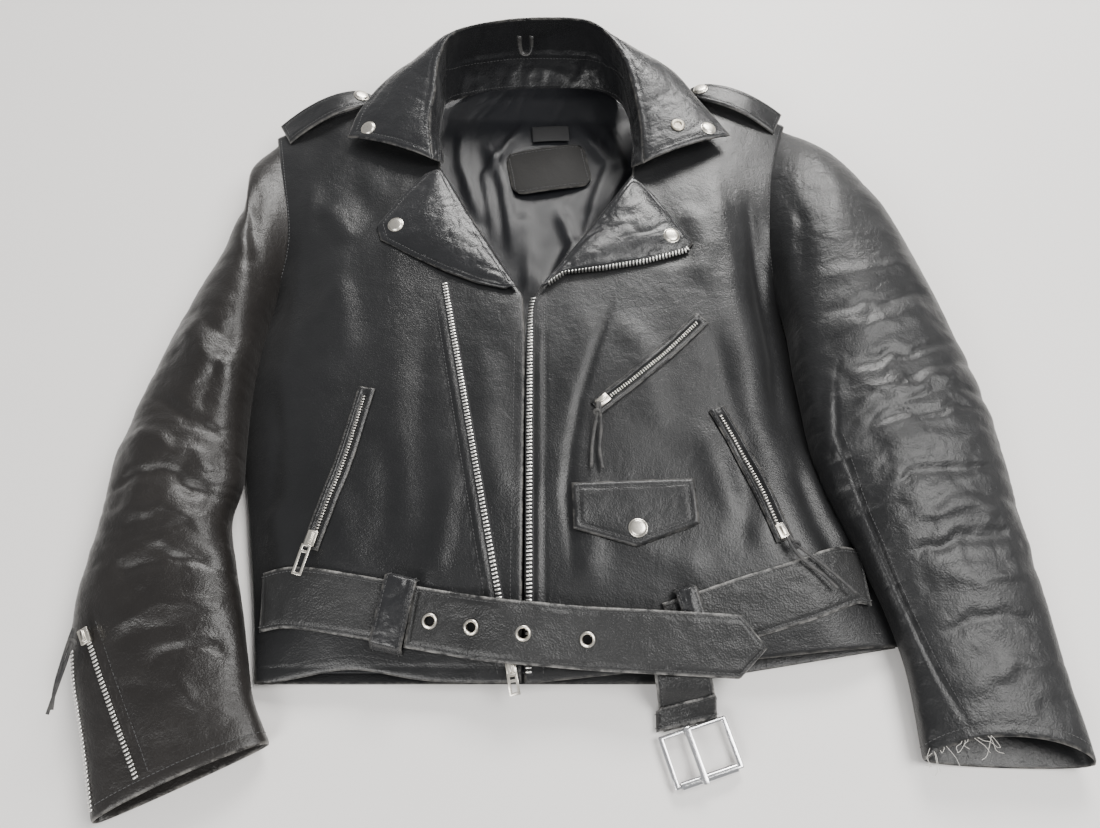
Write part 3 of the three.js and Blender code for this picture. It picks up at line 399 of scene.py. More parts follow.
def leather(name, color, roughness, grain_mm, grain_depth, crease_depth, wear, worn_color, gloss=0.44):
    """Dyed cowhide: pebble grain, fine creases, uneven dye and shine, and paler rubbed edges."""
    paint = Paint(name)
    pebbles = paint.texture("ShaderNodeTexVoronoi", 1000 / grain_mm)
    pebbles.feature = "SMOOTH_F1"
    pebbles = pebbles.outputs["Distance"]
    fine = paint.texture("ShaderNodeTexNoise", 2600 / grain_mm, Detail=3).outputs["Fac"]
    creases = paint.texture("ShaderNodeTexNoise", 1000 / 14, Detail=8, Roughness=0.6,
                            Distortion=0.4).outputs["Fac"]
    patches = paint.texture("ShaderNodeTexNoise", 1000 / 70, Detail=4, Roughness=0.6).outputs["Fac"]
    scuffs = paint.texture("ShaderNodeTexNoise", 1000 / 9, Detail=6, Roughness=0.7).outputs["Fac"]
    edge = paint.nodes.new("ShaderNodeAttribute")
    edge.attribute_name = "edge"
    rubbed = paint.spread(edge.outputs["Fac"], 0.2, 2.4, 1, 0)
    rubbed = paint.maths("MULTIPLY", rubbed, paint.spread(scuffs, 0.42, 0.62, 0, 1), True)
    rubbed = paint.maths("MULTIPLY", rubbed, wear, True)
    patchy = paint.spread(patches, 0.3, 0.7, 0, 1)
    dark = tuple(channel * 0.7 for channel in color)
    shine = paint.spread(patches, 0.3, 0.7, roughness - 0.05, roughness + 0.07)
    pits = paint.spread(pebbles, 0.2, 0.8, 0, 0.08)
    shine = paint.maths("ADD", paint.maths("ADD", shine, pits), paint.maths("MULTIPLY", rubbed, 0.2))
    folds = paint.bump(creases, crease_depth)
    height = paint.maths("ADD", pebbles, paint.maths("MULTIPLY", fine, 0.5))
    paint.set(Specular_IOR_Level=gloss, Sheen_Weight=0.05)
    return paint.plug(Base_Color=paint.mix(rubbed, paint.mix(patchy, dark, color), worn_color),
                      Roughness=shine, Normal=paint.bump(height, grain_depth, folds))


WORN = (0.2, 0.19, 0.175)
body_leather = leather("body_leather", (0.0085, 0.0087, 0.0094), 0.3, 1.2, 0.14, 0.55, 0.45, WORN)
HEM_RISE, HEM_RISE_FROM = 27.0, 0.65
BACK_EDGE_IN = 1.0
BACK_FOOT, BACK_LENGTH = -230, 624.0
BACK_HEIGHT = 0.35
SLOPE_REACH, SLOPE_CURVE = 84, 1.3
NECK_ROUND_FROM, NECK_ROUND_REACH = 350, 46.5


def neck_round(y):
    """The back of the neck is cut round: the share of the full width that is left at y."""
    return np.sqrt(1 - np.clip((y - NECK_ROUND_FROM) / NECK_ROUND_REACH, 0, 0.97) ** 2)


def back_rows(u, v, foot, length):
    """The y of a body-wide piece, whose hem rises towards the wearer's left."""
    rise = np.clip((u - HEM_RISE_FROM) / (1 - HEM_RISE_FROM), 0, 1)
    return foot + length * v + (1 - v) * HEM_RISE * rise


def back_width(u, y, edge_in, slope_from, right_slope, left_slope):
    """The x of a body-wide piece: side seam to side seam, then in along the shoulder slopes."""
    low, high = smooth(RIGHT_SIDE, y) + edge_in, smooth(LEFT_SIDE, y) - edge_in
    slope = np.clip((y - slope_from) / SLOPE_REACH, 0, 1) ** SLOPE_CURVE
    return (low * (1 - right_slope * slope)) * (1 - u) + (high * (1 - left_slope * slope)) * u


def back_surface(u, v):
    y = back_rows(u, v, BACK_FOOT, BACK_LENGTH)
    x = back_width(u, y, BACK_EDGE_IN, 288, 0.56, 0.58)
    return np.stack([x * neck_round(y), y, BACK_HEIGHT + 0 * x], -1)


back = panel("back_leather", back_surface, (500, BACK_LENGTH), body_leather, 1.25, 5.0,
             lambda x, y, u, v, edge: -0.12 - 0.12 * noise(x / 40, y / 40), inside=(0, 0, 1))
belongs(back, "jacket", ["back_panel"])

SHOULDER_TIPS = {"right": [-272, 288], "left": [236, 305]}
SHOULDER_NECKS = {"right": [-118, 352], "left": [98, 362]}
YOKE_FOOT = 5.0
for side, tip in SHOULDER_TIPS.items():
    tip, neck = np.array(tip, float), np.array(SHOULDER_NECKS[side], float)
    run = neck - tip
    outwards = np.array([-run[1], run[0]]) / np.hypot(*run)
    outwards *= np.sign(outwards[1])

    def yoke(u, v, tip=tip, run=run, outwards=outwards):
        seam = tip + run * u[..., None]
        top = body_top(seam[..., 0], seam[..., 1]) - 0.5
        stand = -1.5 + 11 * np.sin(math.pi * v) ** 0.8
        flat = seam + outwards * stand[..., None]
        return np.concatenate([flat, (top + (YOKE_FOOT - top) * v)[..., None]], -1)

    piece = panel(f"{side}_yoke_leather", yoke, (175, 45), body_leather, inside=(*-outwards, 0),
                  relief=lambda x, y, u, v, edge: crumple(u * 170, v * 45, 26, 0.8))
    belongs(piece, "jacket", [f"{side}_yoke"])


# ---- Lining, label and tag ----
# Black satin backs the whole body and is seen through the open neck, where it lies in soft
# folds. A blank leather patch and a small cloth tag are sewn to it below the collar.
def cloth(name, color, roughness, sheen, threads_per_m=1400):
    paint = Paint(name)
    weave = paint.texture("ShaderNodeTexWave", threads_per_m, Distortion=1.5).outputs["Fac"]
    shade = paint.texture("ShaderNodeTexNoise", 18, Detail=3).outputs["Fac"]
    dark = tuple(channel * 0.55 for channel in color)
    paint.set(Sheen_Weight=sheen, Sheen_Roughness=0.3)
    return paint.plug(Base_Color=paint.mix(shade, dark, color),
                      Roughness=paint.spread(shade, 0.2, 0.8, roughness - 0.05, roughness + 0.05),
                      Normal=paint.bump(weave, 0.03))


satin = cloth("satin", (0.0075, 0.008, 0.0105), 0.4, 0.06)
# Folds and furrows here and below are (points, width, height) in millimetres.
LINING_FOLDS = [
    ([[-70, 330], [-46, 250], [-32, 150]], 7, 6), ([[-22, 345], [-66, 265], [-50, 170]], 5, 4),
    ([[20, 350], [62, 280], [34, 190], [6, 120]], 8, 6), ([[62, 340], [74, 270], [48, 200]], 6, 5),
    ([[-92, 340], [-90, 280], [-66, 200]], 6, 5), ([[6, 235], [22, 180], [-6, 110]], 6, 5),
    ([[-30, 230], [-20, 170], [-16, 110]], 9, 5), ([[40, 230], [26, 170]], 5, -2)]
LINING_FOOT, LINING_LENGTH = -222, 609.0
LINING_EDGE_IN = 10
LINING_HEIGHT = 2.6
NECK_LIFT, NECK_LIFT_FROM = 5, 340  # it climbs to the collar stand


def lining_surface(u, v):
    y = back_rows(u, v, LINING_FOOT, LINING_LENGTH)
    x = back_width(u, y, LINING_EDGE_IN, 280, 0.55, 0.57)
    height = LINING_HEIGHT + NECK_LIFT * np.clip((y - NECK_LIFT_FROM) / 30, 0, 1)
    return np.stack([x * neck_round(y + 3), y, height], -1)


def lining_relief(x, y, u, v, edge):
    height = 1.2 + 1.6 * noise(x / 45, y / 60) + crumple(x, y, 24, 1.1, 1.2, 2.4)
    for line, width, rise in LINING_FOLDS:
        height += stroke(x, y, line, width, rise)
    return np.maximum(height * np.clip(edge / 20, 0, 1), 0)


lining = panel("back_satin", lining_surface, (500, LINING_LENGTH), satin, 0.5, 4.0, lining_relief)
belongs(lining, "jacket", ["back_lining"])

glossy_leather = leather("glossy_leather", (0.0135, 0.0138, 0.0152), 0.25, 1.5, 0.08, 1.1, 0.5, WORN)
label_leather = leather("label_leather", (0.006, 0.0055, 0.005), 0.6, 1.0, 0.06, 0.4, 0.3, WORN, 0.25)
patch_low, patch_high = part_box("label_patch")
LABEL_CENTRE = unplace((patch_low + patch_high) / 2)
LABEL_SIZE = (82, 56)
LABEL_TURN = 0.17
TAG_SIZE = (38, 20)
TAG_OFFSET = (2, 47, 0)


def turned_slab(centre, width, length, turn, height, corner):
    """A flat piece with round corners, round a centre and turned in its plane."""

    def surface(u, v):
        a, b = 2 * u - 1, 2 * v - 1
        reach = 1 - (corner / width) * np.abs(b) ** 8 * np.abs(a) ** 3
        a, b = a * width / 2 * reach, b * length / 2 * (1 - (corner / length) * np.abs(a) ** 10)
        x = centre[0] + a * math.cos(turn) - b * math.sin(turn)
        y = centre[1] + a * math.sin(turn) + b * math.cos(turn)
        return np.stack([x, y, height + 0 * x], -1)
    return surface


label = panel("blank_label", turned_slab(LABEL_CENTRE, *LABEL_SIZE, LABEL_TURN, 8.6, 9), LABEL_SIZE,
              label_leather, 1.3, 2.0,
              lambda x, y, u, v, edge: 1.2 * np.cos(x / 21) - 0.4 * np.exp(-((edge - 4) / 0.9) ** 2))
belongs(label, "jacket", ["label_patch"])
tag_cloth = cloth("tag_cloth", (0.012, 0.012, 0.013), 0.75, 0.05, 900)
tag = panel("blank_tag", turned_slab(LABEL_CENTRE + TAG_OFFSET, *TAG_SIZE, 0.05, 8.4, 0), TAG_SIZE,
            tag_cloth, 0.4, 2.0, lambda x, y, u, v, edge: 0.5 * np.cos(x / 9))
belongs(tag, "jacket", ())


# ---- The two fronts ----
# Each front is a large piece of semi-gloss cowhide, stitched to the back at its side and
# shoulder, turned in at the front edge and hemmed. Its satin lining is sewn in all round.
RIGHT_EDGE_X, LEFT_EDGE_X = -21.5, -19.5
RIGHT_NOTCH, LEFT_NOTCH = [-105, 239], [78, 230]
HEM_WAVE = 9.0
RIGHT_BREAK, LEFT_BREAK = [-24, 94], [-15, 92]
middle = lambda a, b: [(a[0] + b[0]) / 2, (a[1] + b[1]) / 2]
right_ys = [-231, -170, -90, -10, 60, 116, 170, 240, 288]
left_ys = [-203, -165, -95, -20, 44, 104, 165, 235, 305]
right_outer = curve([[float(smooth(RIGHT_SIDE, y)), y] for y in right_ys])
left_outer = curve([[float(smooth(LEFT_SIDE, y)), y] for y in left_ys])
right_inner = polyline([[RIGHT_EDGE_X, y] for y in (-231, -170, -90, -10, 50)]
                       + [RIGHT_BREAK, middle(RIGHT_BREAK, RIGHT_NOTCH), RIGHT_NOTCH, [-118, 352]])
left_inner = polyline([[LEFT_EDGE_X, y] for y in (-232, -170, -90, -10, 50)]
                      + [LEFT_BREAK, middle(LEFT_BREAK, LEFT_NOTCH), LEFT_NOTCH, [98, 362]])


def front(outer, inner, drop=0.0, share=(0, 1, 0, 1)):
    def surface(u, v):
        u, v = share[0] + (share[1] - share[0]) * u, share[2] + (share[3] - share[2]) * v
        flat = outer(v) * (1 - u[..., None]) + inner(v) * u[..., None]
        flat[..., 1] += HEM_WAVE * np.exp(-((flat[..., 0] + 150) / 42) ** 2) * (1 - v) ** 8
        return np.concatenate([flat, (body_top(flat[..., 0], flat[..., 1]) - drop)[..., None]], -1)
    return surface


RIGHT_CHAIN = [[-28, -226], [-94, 108]]
LEFT_CHAIN = [[-16, -226], [-16, 84]]
RIGHT_FOLDS = [
    ([[-238, 190], [-214, 100], [-206, 0], [-214, -90]], 15, -2.6),
    ([[-228, 240], [-226, 160], [-234, 70]], 11, 2.6),
    ([[-150, 200], [-142, 110], [-128, 10], [-120, -90]], 26, 2.2),
    ([[-112, 70], [-106, -40], [-98, -130]], 14, -2.0),
    ([[-60, 60], [-52, -20], [-40, -110]], 13, 1.8),
    ([[-180, -70], [-158, -130], [-140, -165]], 12, 1.8),
    ([[-226, -90], [-206, -150]], 11, 2.2),
    ([[-200, 230], [-170, 190], [-150, 175]], 14, -1.6),
    ([[-240, 20], [-226, -40], [-226, -110]], 8, -2), ([[-90, 230], [-96, 170], [-110, 130]], 16, 2.2),
    ([[-190, 120], [-176, 60], [-172, 20]], 12, 2), ([[-78, -60], [-84, -120], [-92, -170]], 10, 2),
    ([[-140, -30], [-128, -80], [-132, -140]], 11, -1.8), ([[-215, 200], [-180, 150]], 10, 2)]
LEFT_FOLDS = [
    ([[60, 106], [38, 40], [25, -6], [17, -50], [13, -90], [16, -125], [19, -165]], 4, -1.9),
    ([[46, 100], [26, 40], [12, -10], [4, -60], [2, -110]], 10, 0.7),
    ([[150, 250], [160, 160], [172, 60], [176, -20]], 16, 3.2),
    ([[188, 230], [190, 130], [196, 40], [190, -50]], 8, -3.6),
    ([[140, 70], [150, -10], [176, -90]], 11, -2.6),
    ([[120, -20], [140, -90], [176, -140]], 12, 2.0),
    ([[200, -60], [212, -110], [232, -150]], 8, -2.6),
    ([[90, 250], [108, 170], [114, 120]], 18, -2.2),
    ([[40, -110], [90, -140], [130, -150]], 12, 1.2),
    ([[205, -30], [220, -90], [244, -140]], 7, 2.6), ([[60, 80], [80, 40], [88, -40]], 14, 1.8),
    ([[150, -40], [158, -90], [150, -140]], 9, -2), ([[130, 200], [140, 150], [132, 100]], 12, 2.4),
    ([[30, -60], [34, -120], [28, -170]], 10, 1.6)]
HEM_LINE = -231
HEM_STITCH = 11.0
HEM_ONLY_BELOW, FAR_AWAY = -150, 99
FRONT_EDGE_STITCH = 9.0
CHAIN_RIDGE, CHAIN_STITCH = 7.5, 11.1


def front_relief(folds, chain, side):
    def relief(x, y, u, v, edge):
        height = 0.9 * noise(x / 55, y / 90) + 0.35 * noise(x / 19, y / 26)
        height += crumple(x, y, 34, 0.22, 1.3, 1.9)
        for points, width, rise in folds:
            height += stroke(x, y, points, width, rise)
        # The leather beside a chain is turned under, so it stands up as a stitched ridge.
        ridge = np.array(chain) + [side * CHAIN_RIDGE, 0]
        groove = np.array(chain) + [side * CHAIN_STITCH, 0]
        height += stroke(x, y, ridge, 2.6, 1.3) + stroke(x, y, groove, 1.0, -0.9)
        hem = np.where(y < HEM_ONLY_BELOW, y - HEM_LINE, FAR_AWAY)
        seam = np.exp(-((hem - HEM_STITCH) / 1.2) ** 2)
        return (height - 0.7 * seam) * np.clip(edge / 8, 0.1, 1)
    return relief


FRONT_SIZE = (240, 590)
fronts = {"right": (right_outer, right_inner, front_relief(RIGHT_FOLDS, RIGHT_CHAIN, -1)),
          "left": (left_outer, left_inner, front_relief(LEFT_FOLDS, LEFT_CHAIN, 1))}
front_pieces = []
for side, (outer, inner, relief) in fronts.items():
    piece = panel(f"{side}_front_leather", front(outer, inner), FRONT_SIZE, body_leather, 1.6, 2.4,
                  relief)
    belongs(piece, "jacket", [f"{side}_front"])
    front_pieces.append(piece)
    under = panel(f"{side}_front_satin", front(outer, inner, 4.4, (0.1, 0.97, 0.02, 0.98)),
                  (210, 570), satin, 0.6, 6.0, lambda x, y, u, v, edge: 0.6 * noise(x / 20, y / 20))
    belongs(under, "jacket", [f"{side}_front_lining"])


# ---- Collar, hanger loop and lapels ----
# The collar is a stand sewn round the neck and a fall turned over it, in a glossier, softer
# hide that crinkles. The tops of the fronts turn back as lapels in the same hide.
COLLAR_FOLD = curve([[-111, 239, 60], [-115, 278, 67], [-111, 314, 73], [-108, 351, 79],
                     [-93, 380, 84], [-50, 392, 87], [0, 395, 88], [42, 390, 87], [66, 362, 81],
                     [79, 323, 74], [86, 278, 67], [88, 234, 60]])
COLLAR_EDGE = curve([[-196, 271, 56], [-187, 303, 58], [-169, 335, 60], [-148, 359, 60],
                     [-110, 388, 58], [-52, 402, 50], [0, 406, 48], [50, 402, 50], [90, 382, 58],
                     [122, 354, 62], [147, 315, 60], [174, 271, 58]])
NECK_SEAM = curve([[-101, 243, 50], [-106, 278, 46], [-108, 316, 34], [-108, 348, 20],
                   [-94, 367, 10], [-50, 380, 7], [0, 384, 6], [42, 381, 7], [70, 365, 10],
                   [79, 328, 24], [80, 280, 42], [77, 238, 50]])


def collar_fall(u, v):
    fold, edge = COLLAR_FOLD(u), COLLAR_EDGE(u)
    point = fold + (edge - fold) * v[..., None]
    point[..., 2] += 5.5 * np.sin(math.pi * np.clip(v * 1.05, 0, 1)) ** 0.7
    return point


def collar_stand(u, v):
    seam, fold = NECK_SEAM(u), COLLAR_FOLD(u)
    point = seam + (fold - seam) * v[..., None] * 0.99
    point[..., 1] += 11 * np.sin(math.pi * v) * np.clip((point[..., 1] - 300) / 60, 0, 1)
    return point


COLLAR_STITCH = 7.0


def crinkled(depth, size, stitch_in=COLLAR_STITCH, turn=0.9):
    def relief(x, y, u, v, edge):
        seam = 0.5 * np.exp(-((edge - stitch_in) / 1.1) ** 2)
        rough = crumple(x, y, size, depth, turn, 1.5) + 0.8 * noise(x / 34, y / 34)
        return rough * np.clip(edge / 8, 0.15, 1) - seam
    return relief


STAND_HEIGHT, STAND_SEAM = 80, 0.46


def stand_relief(x, y, u, v, edge):
    band = STAND_HEIGHT * (v - STAND_SEAM)
    seam = 0.9 * np.exp(-((band + 2) / 2) ** 2) - 1.3 * np.exp(-(band / 1.1) ** 2)
    return crumple(u * 480, v * 60, 16, 2.3, 1.4, 1.3) * np.clip(edge / 6, 0.1, 1) + seam


fall = panel("collar_fall_leather", collar_fall, (520, 75), glossy_leather, 2.2, 2.2,
             crinkled(0.9, 17))
stand = panel("collar_stand_leather", collar_stand, (480, 60), glossy_leather, 1.5, 2.2,
              stand_relief, inside=(0, 1, -0.3))
belongs(fall, "jacket", ["collar_fall"])
belongs(stand, "jacket", ["collar_stand"])


def face_outwards(piece, weld=False):
    mesh = bmesh.new()
    mesh.from_mesh(piece.data)
    if weld:
        bmesh.ops.remove_doubles(mesh, verts=mesh.verts, dist=1e-6)
    bmesh.ops.recalc_face_normals(mesh, faces=mesh.faces)
    mesh.to_mesh(piece.data)
    mesh.free()


def sweep(name, path, section, material, closed=False, step=1.5):
    """A closed bar: a section (x, y points in mm) carried along a smooth path in pattern mm."""
    path = np.array(path, float)
    if closed:
        path = np.vstack([path[-2:], path, path[:2]])
    count = max(int(np.linalg.norm(np.diff(path, axis=0), axis=1).sum() / step), 6)
    t = np.linspace(0, 1, count)
    if closed:
        t = np.linspace(2, len(path) - 2, count, endpoint=False) / (len(path) - 1)
    line = curve(path)(t)
    ahead = np.gradient(line, axis=0)
    ahead /= np.linalg.norm(ahead, axis=1, keepdims=True)
    up = np.zeros_like(line)
    current = np.array([0.0, 0.0, 1.0])
    for i, heading in enumerate(ahead):
        current = current - heading * current.dot(heading)
        if np.linalg.norm(current) < 0.05:
            current = np.cross(heading, [1, 0, 0])
        current /= np.linalg.norm(current)
        up[i] = current
        current = 0.7 * current + [0, 0, 0.3]
    side = np.cross(ahead, up)
    section = np.array(section, float)
    rings = line[:, None] + side[:, None] * section[None, :, :1] + up[:, None] * section[None, :, 1:]
    sides = len(section)
    index = np.arange(count * sides).reshape(count, sides)
    rows = np.vstack([index, index[:1]]) if closed else index
    a, b = rows[:-1], np.roll(rows[:-1], -1, 1)
    c, d = np.roll(rows[1:], -1, 1), rows[1:]
    faces = np.stack([a, b, c, d], -1).reshape(-1, 4).tolist()
    if not closed:
        faces += [index[0, ::-1].tolist(), index[-1].tolist()]
    piece = finish_mesh(name, rings.reshape(-1, 3), faces, material, np.full(count * sides, 1.5))
    face_outwards(piece)
    return piece


def oval(width, thick, sides=10):
    angles = 2 * math.pi * np.arange(sides) / sides
    return np.stack([width / 2 * np.cos(angles), thick / 2 * np.sin(angles)], 1)


hanger_low, hanger_high = (unplace(corner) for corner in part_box("hanger_loop"))
hx = (hanger_low[0] + hanger_high[0]) / 2
HANGER_HALF = 6
hanger_top, hanger_foot = hanger_high[2] - 1, hanger_low[2] + 2
hanger_y = hanger_low[1] + 1
hanger = sweep("hanger_loop_leather", [
    [hx - HANGER_HALF, hanger_y + 5, hanger_top], [hx - HANGER_HALF, hanger_y + 3, hanger_top - 8],
    [hx - HANGER_HALF + 1.5, hanger_y, hanger_foot + 2], [hx, hanger_y - 1, hanger_foot],
    [hx + HANGER_HALF - 1.5, hanger_y, hanger_foot + 2],
    [hx + HANGER_HALF, hanger_y + 3, hanger_top - 8], [hx + HANGER_HALF, hanger_y + 5, hanger_top]],
    oval(4.6, 2.4), glossy_leather)
belongs(hanger, "jacket", ["hanger_loop"])

RIGHT_LAPEL = [RIGHT_BREAK, [-64, 104], [-92, 116], [-124, 133], [-155, 152], [-160, 168],
               [-141, 202], [-120, 230], [-110, 234]]
LEFT_LAPEL = [LEFT_BREAK, [14, 116], [49, 120], [86, 127], [124, 139], [131, 149], [115, 176],
              [99, 203], [84, 222]]
LAPEL_LIFT = 3.2


def lapel(fold_end, fold_start, outline):
    fold, rim = polyline([fold_start, fold_end]), polyline(outline)

    def surface(u, v):
        station = 0.05 + 0.93 * v
        near, far = fold(station), rim(station)
        flat = near + (far - near) * (0.015 + 0.985 * u[..., None])
        swell = 7 * np.sin(math.pi * u ** 0.8) ** 0.8 * np.sin(math.pi * np.clip(v, 0.03, 1)) ** 0.4
        z = body_top(flat[..., 0], flat[..., 1]) + LAPEL_LIFT + swell
        return np.concatenate([flat, z[..., None]], -1)
    return surface


lapels = {"right": lapel(RIGHT_NOTCH, RIGHT_BREAK, RIGHT_LAPEL),
          "left": lapel(LEFT_NOTCH, LEFT_BREAK, LEFT_LAPEL)}
for side, surface in lapels.items():
    piece = panel(f"{side}_lapel_leather", surface, (80, 190), glossy_leather, 1.8, 1.7,
                  crinkled(1.2, 15, COLLAR_STITCH, 0.5))
    belongs(piece, f"{side}_lapel", [f"{side}_lapel"])


# ---- Sleeves ----
# Each sleeve is a tube of the body's hide, set into the armhole and bent at the elbow, where
# it breaks into cross folds. The cuffs are turned in and stitched, and the right one has a zip.
# Stations from armhole to cuff: outer edge, inner edge, height, bow towards the body.
RIGHT_SLEEVE = [
    [[-275, 286], [-251, 114], 46, 5], [[-292, 252], [-255, 88], 55, 3],
    [[-288, 202], [-257, 58], 60, 0],
    [[-300, 150], [-259, 20], 61, 0], [[-318, 105], [-259, -15], 60, 0], [[-333, 58], [-257, -45], 58, 0],
    [[-346, 5], [-255, -75], 56, 0], [[-358, -50], [-259, -106], 54, 0],
    [[-361, -110], [-250, -142], 50, 0],
    [[-366, -165], [-240, -176], 44, 0], [[-362, -212], [-231, -210], 40, 0],
    [[-341, -270], [-222, -243], 36, 0], [[-323, -326], [-206, -273], 32, 0]]
LEFT_SLEEVE = [
    [[240, 305], [212, 102], 48, -9], [[263, 284], [214, 78], 57, -5], [[287, 256], [214, 54], 63, 0],
    [[310, 215], [214, 30], 65, 0], [[329, 160], [216, 0], 66, 0], [[345, 109], [218, -30], 64, 0],
    [[357, 60], [221, -58], 62, 0], [[367, 12], [229, -88], 60, 0], [[374, -40], [240, -118], 56, 0],
    [[378, -95], [252, -150], 50, 0], [[382, -150], [262, -180], 44, 0], [[388, -215], [271, -225], 38, 0],
    [[395, -288], [272, -284], 34, 0]]
SEAM_SHARE = 0.4
ARMHOLE = {"right": (RIGHT_SIDE, 286, 108, 1), "left": (LEFT_SIDE, 303, 102, -1)}
TUCK = 5.0
HEAD_SHARE = 0.05
HEAD_FOOT = 6
MOUTH_RISE = {"right": 2.0, "left": 16.0}


def sleeve(side, stations):
    outer = curve([a for a, b, top, bow in stations])
    inner = curve([b for a, b, top, bow in stations])
    rise = curve([[top, bow] for a, b, top, bow in stations])
    side_line, high_y, low_y, inwards = ARMHOLE[side]

    def surface(u, v):
        angle = 2 * math.pi * u
        a, b, heights = outer(v), inner(v), rise(v)
        flat = (a + b) / 2 + (a - b) / 2 * np.cos(angle)[..., None]
        lift = np.abs(np.sin(angle))
        flat[..., 0] += heights[..., 1] * lift ** 2
        open_top = np.where(np.sin(angle) > 0, lift ** 1.5, -0.2 * lift)
        flat[..., 1] += MOUTH_RISE[side] * open_top * np.clip((v - 0.86) / 0.14, 0, 1)
        top = heights[..., 0]
        seam = top * SEAM_SHARE
        z = np.where(np.sin(angle) > 0, seam + (top - seam) * lift ** 0.8, seam * (1 - lift ** 0.55))
        # The sleeve's head starts tucked under the front's edge, along the armhole.
        y0 = (high_y + low_y) / 2 + (high_y - low_y) / 2 * np.cos(angle)
        x0 = smooth(side_line, y0) + inwards * TUCK
        rim = smooth(SIDE_HEIGHT, y0) * DEPTH - 1.9
        z0 = np.where(np.sin(angle) > 0, HEAD_FOOT + (rim - HEAD_FOOT) * np.clip(lift * 5, 0, 1),
                      HEAD_FOOT * (1 - lift) + 0.4)
        head = np.clip(v / HEAD_SHARE, 0, 1)
        share = np.sin(head * math.pi / 2)[..., None]
        whole = np.concatenate([flat, z[..., None]], -1)
        return np.stack([x0, y0, z0], -1) * (1 - share) + whole * share
    return surface


RIGHT_SLEEVE_FOLDS = [
    ([[-262, 240], [-272, 180], [-262, 110]], 9, -4), ([[-262, 70], [-280, 20], [-282, -40]], 8, -3.5),
    ([[-300, 190], [-280, 150], [-262, 120]], 8, 3), ([[-322, 90], [-292, 60], [-262, 40]], 9, -3),
    ([[-320, 60], [-290, 30], [-262, 10]], 9, 3), ([[-345, 0], [-300, -25], [-258, -50]], 6, -4),
    ([[-350, -40], [-310, -50], [-262, -74]], 8, 3.5), ([[-355, -85], [-310, -75], [-262, -95]], 5, -4),
    ([[-355, -115], [-300, -100], [-255, -120]], 7, 3), ([[-345, -160], [-295, -140], [-245, -150]], 6, -4),
    ([[-340, -200], [-290, -175], [-236, -180]], 8, 3), ([[-300, -225], [-260, -205], [-232, -208]], 5, -3),
    ([[-330, -20], [-318, -120]], 14, 2.5), ([[-280, -230], [-250, -250], [-226, -250]], 7, 2),
    ([[-285, 100], [-300, 40], [-300, -10]], 16, 2)]
LEFT_SLEEVE_FOLDS = [
    ([[214, 240], [226, 170], [222, 90]], 8, -5), ([[250, 290], [262, 200], [250, 110]], 14, 3),
    ([[330, 130], [290, 110], [232, 100]], 7, 3), ([[340, 100], [290, 78], [228, 70]], 5, -4),
    ([[345, 80], [290, 58], [236, 44]], 8, 4), ([[355, 45], [300, 28], [240, 20]], 5, -4.5),
    ([[360, 18], [310, 2], [245, -8]], 8, 4), ([[365, -12], [310, -22], [250, -32]], 5, -4.5),
    ([[368, -40], [320, -48], [256, -58]], 8, 3.5), ([[370, -70], [320, -74], [262, -86]], 5, -4),
    ([[373, -98], [330, -100], [270, -112]], 7, 3.5), ([[376, -126], [320, -128], [272, -138]], 5, -3.5),
    ([[378, -152], [330, -154], [280, -160]], 7, 3), ([[380, -184], [335, -184], [285, -200]], 6, -3),
    ([[385, -220], [340, -222], [290, -235]], 8, 2.4), ([[384, -250], [350, -245]], 6, -2),
    ([[300, 230], [310, 160], [300, 100]], 20, 2), ([[238, 10], [228, -30], [240, -70]], 7, 3)]
# The elbow of each sleeve, where the cross folds crowd: middle y and reach.
ELBOWS = {"right": (-90, 120), "left": (-60, 130)}
CUFF_STITCH = 9.0


def sleeve_relief(side, folds, seam_line):
    elbow, reach = ELBOWS[side]
    share = {"right": 0.75, "left": 0.55}[side]

    def relief(x, y, u, v, edge):
        bend = np.exp(-((y - elbow) / reach) ** 2)
        height = crumple(x, y, 27, 1.7, 0.25, 2.0) * (0.35 + bend)
        height += crumple(x, y, 12, 0.55, -0.2, 1.8) * (0.4 + bend) + 0.8 * noise(x / 30, y / 60)
        for points, width, rise in folds:
            height += stroke(x + 3 * noise(x / 17, y / 17), y + 5 * noise(y / 15, x / 15), points, width,
                             rise * share)
        height += stroke(x, y, seam_line, 1.7, -1.9) + stroke(x + 4, y, seam_line, 3, 0.4)
        above = np.clip(np.sin(2 * math.pi * u) * 3 + 0.6, 0.12, 1)
        cuff = 0.7 * np.exp(-((edge - CUFF_STITCH) / 1.2) ** 2)
        return (height - cuff) * above * np.clip((v - 0.01) * 12, 0, 1) * np.clip(edge / 16, 0.05, 1)
    return relief


RIGHT_SEAM = [[-349, -175], [-322, -225], [-296, -268], [-282, -300]]
LEFT_SEAM = [[246, 40], [236, 4], [233, -42], [248, -107], [266, -165], [288, -233], [303, -268],
             [307, -284]]
BLEND_FROM = {"right": (-262, 200), "left": (222, 200)}
BLEND_TO = {"right": (-292, 70), "left": (280, 70)}
SLEEVE_SIZE = (330, 600)
sleeve_leather = leather("sleeve_leather", (0.009, 0.0092, 0.0099), 0.33, 1.3, 0.13, 1.0, 0.6, WORN)
worn_leather = leather("worn_leather", (0.0122, 0.0104, 0.0094), 0.33, 1.3, 0.13, 1.0, 0.8, WORN)
sleeves = {"right": (RIGHT_SLEEVE, RIGHT_SLEEVE_FOLDS, RIGHT_SEAM, worn_leather),
           "left": (LEFT_SLEEVE, LEFT_SLEEVE_FOLDS, LEFT_SEAM, sleeve_leather)}
sleeve_pieces = {}
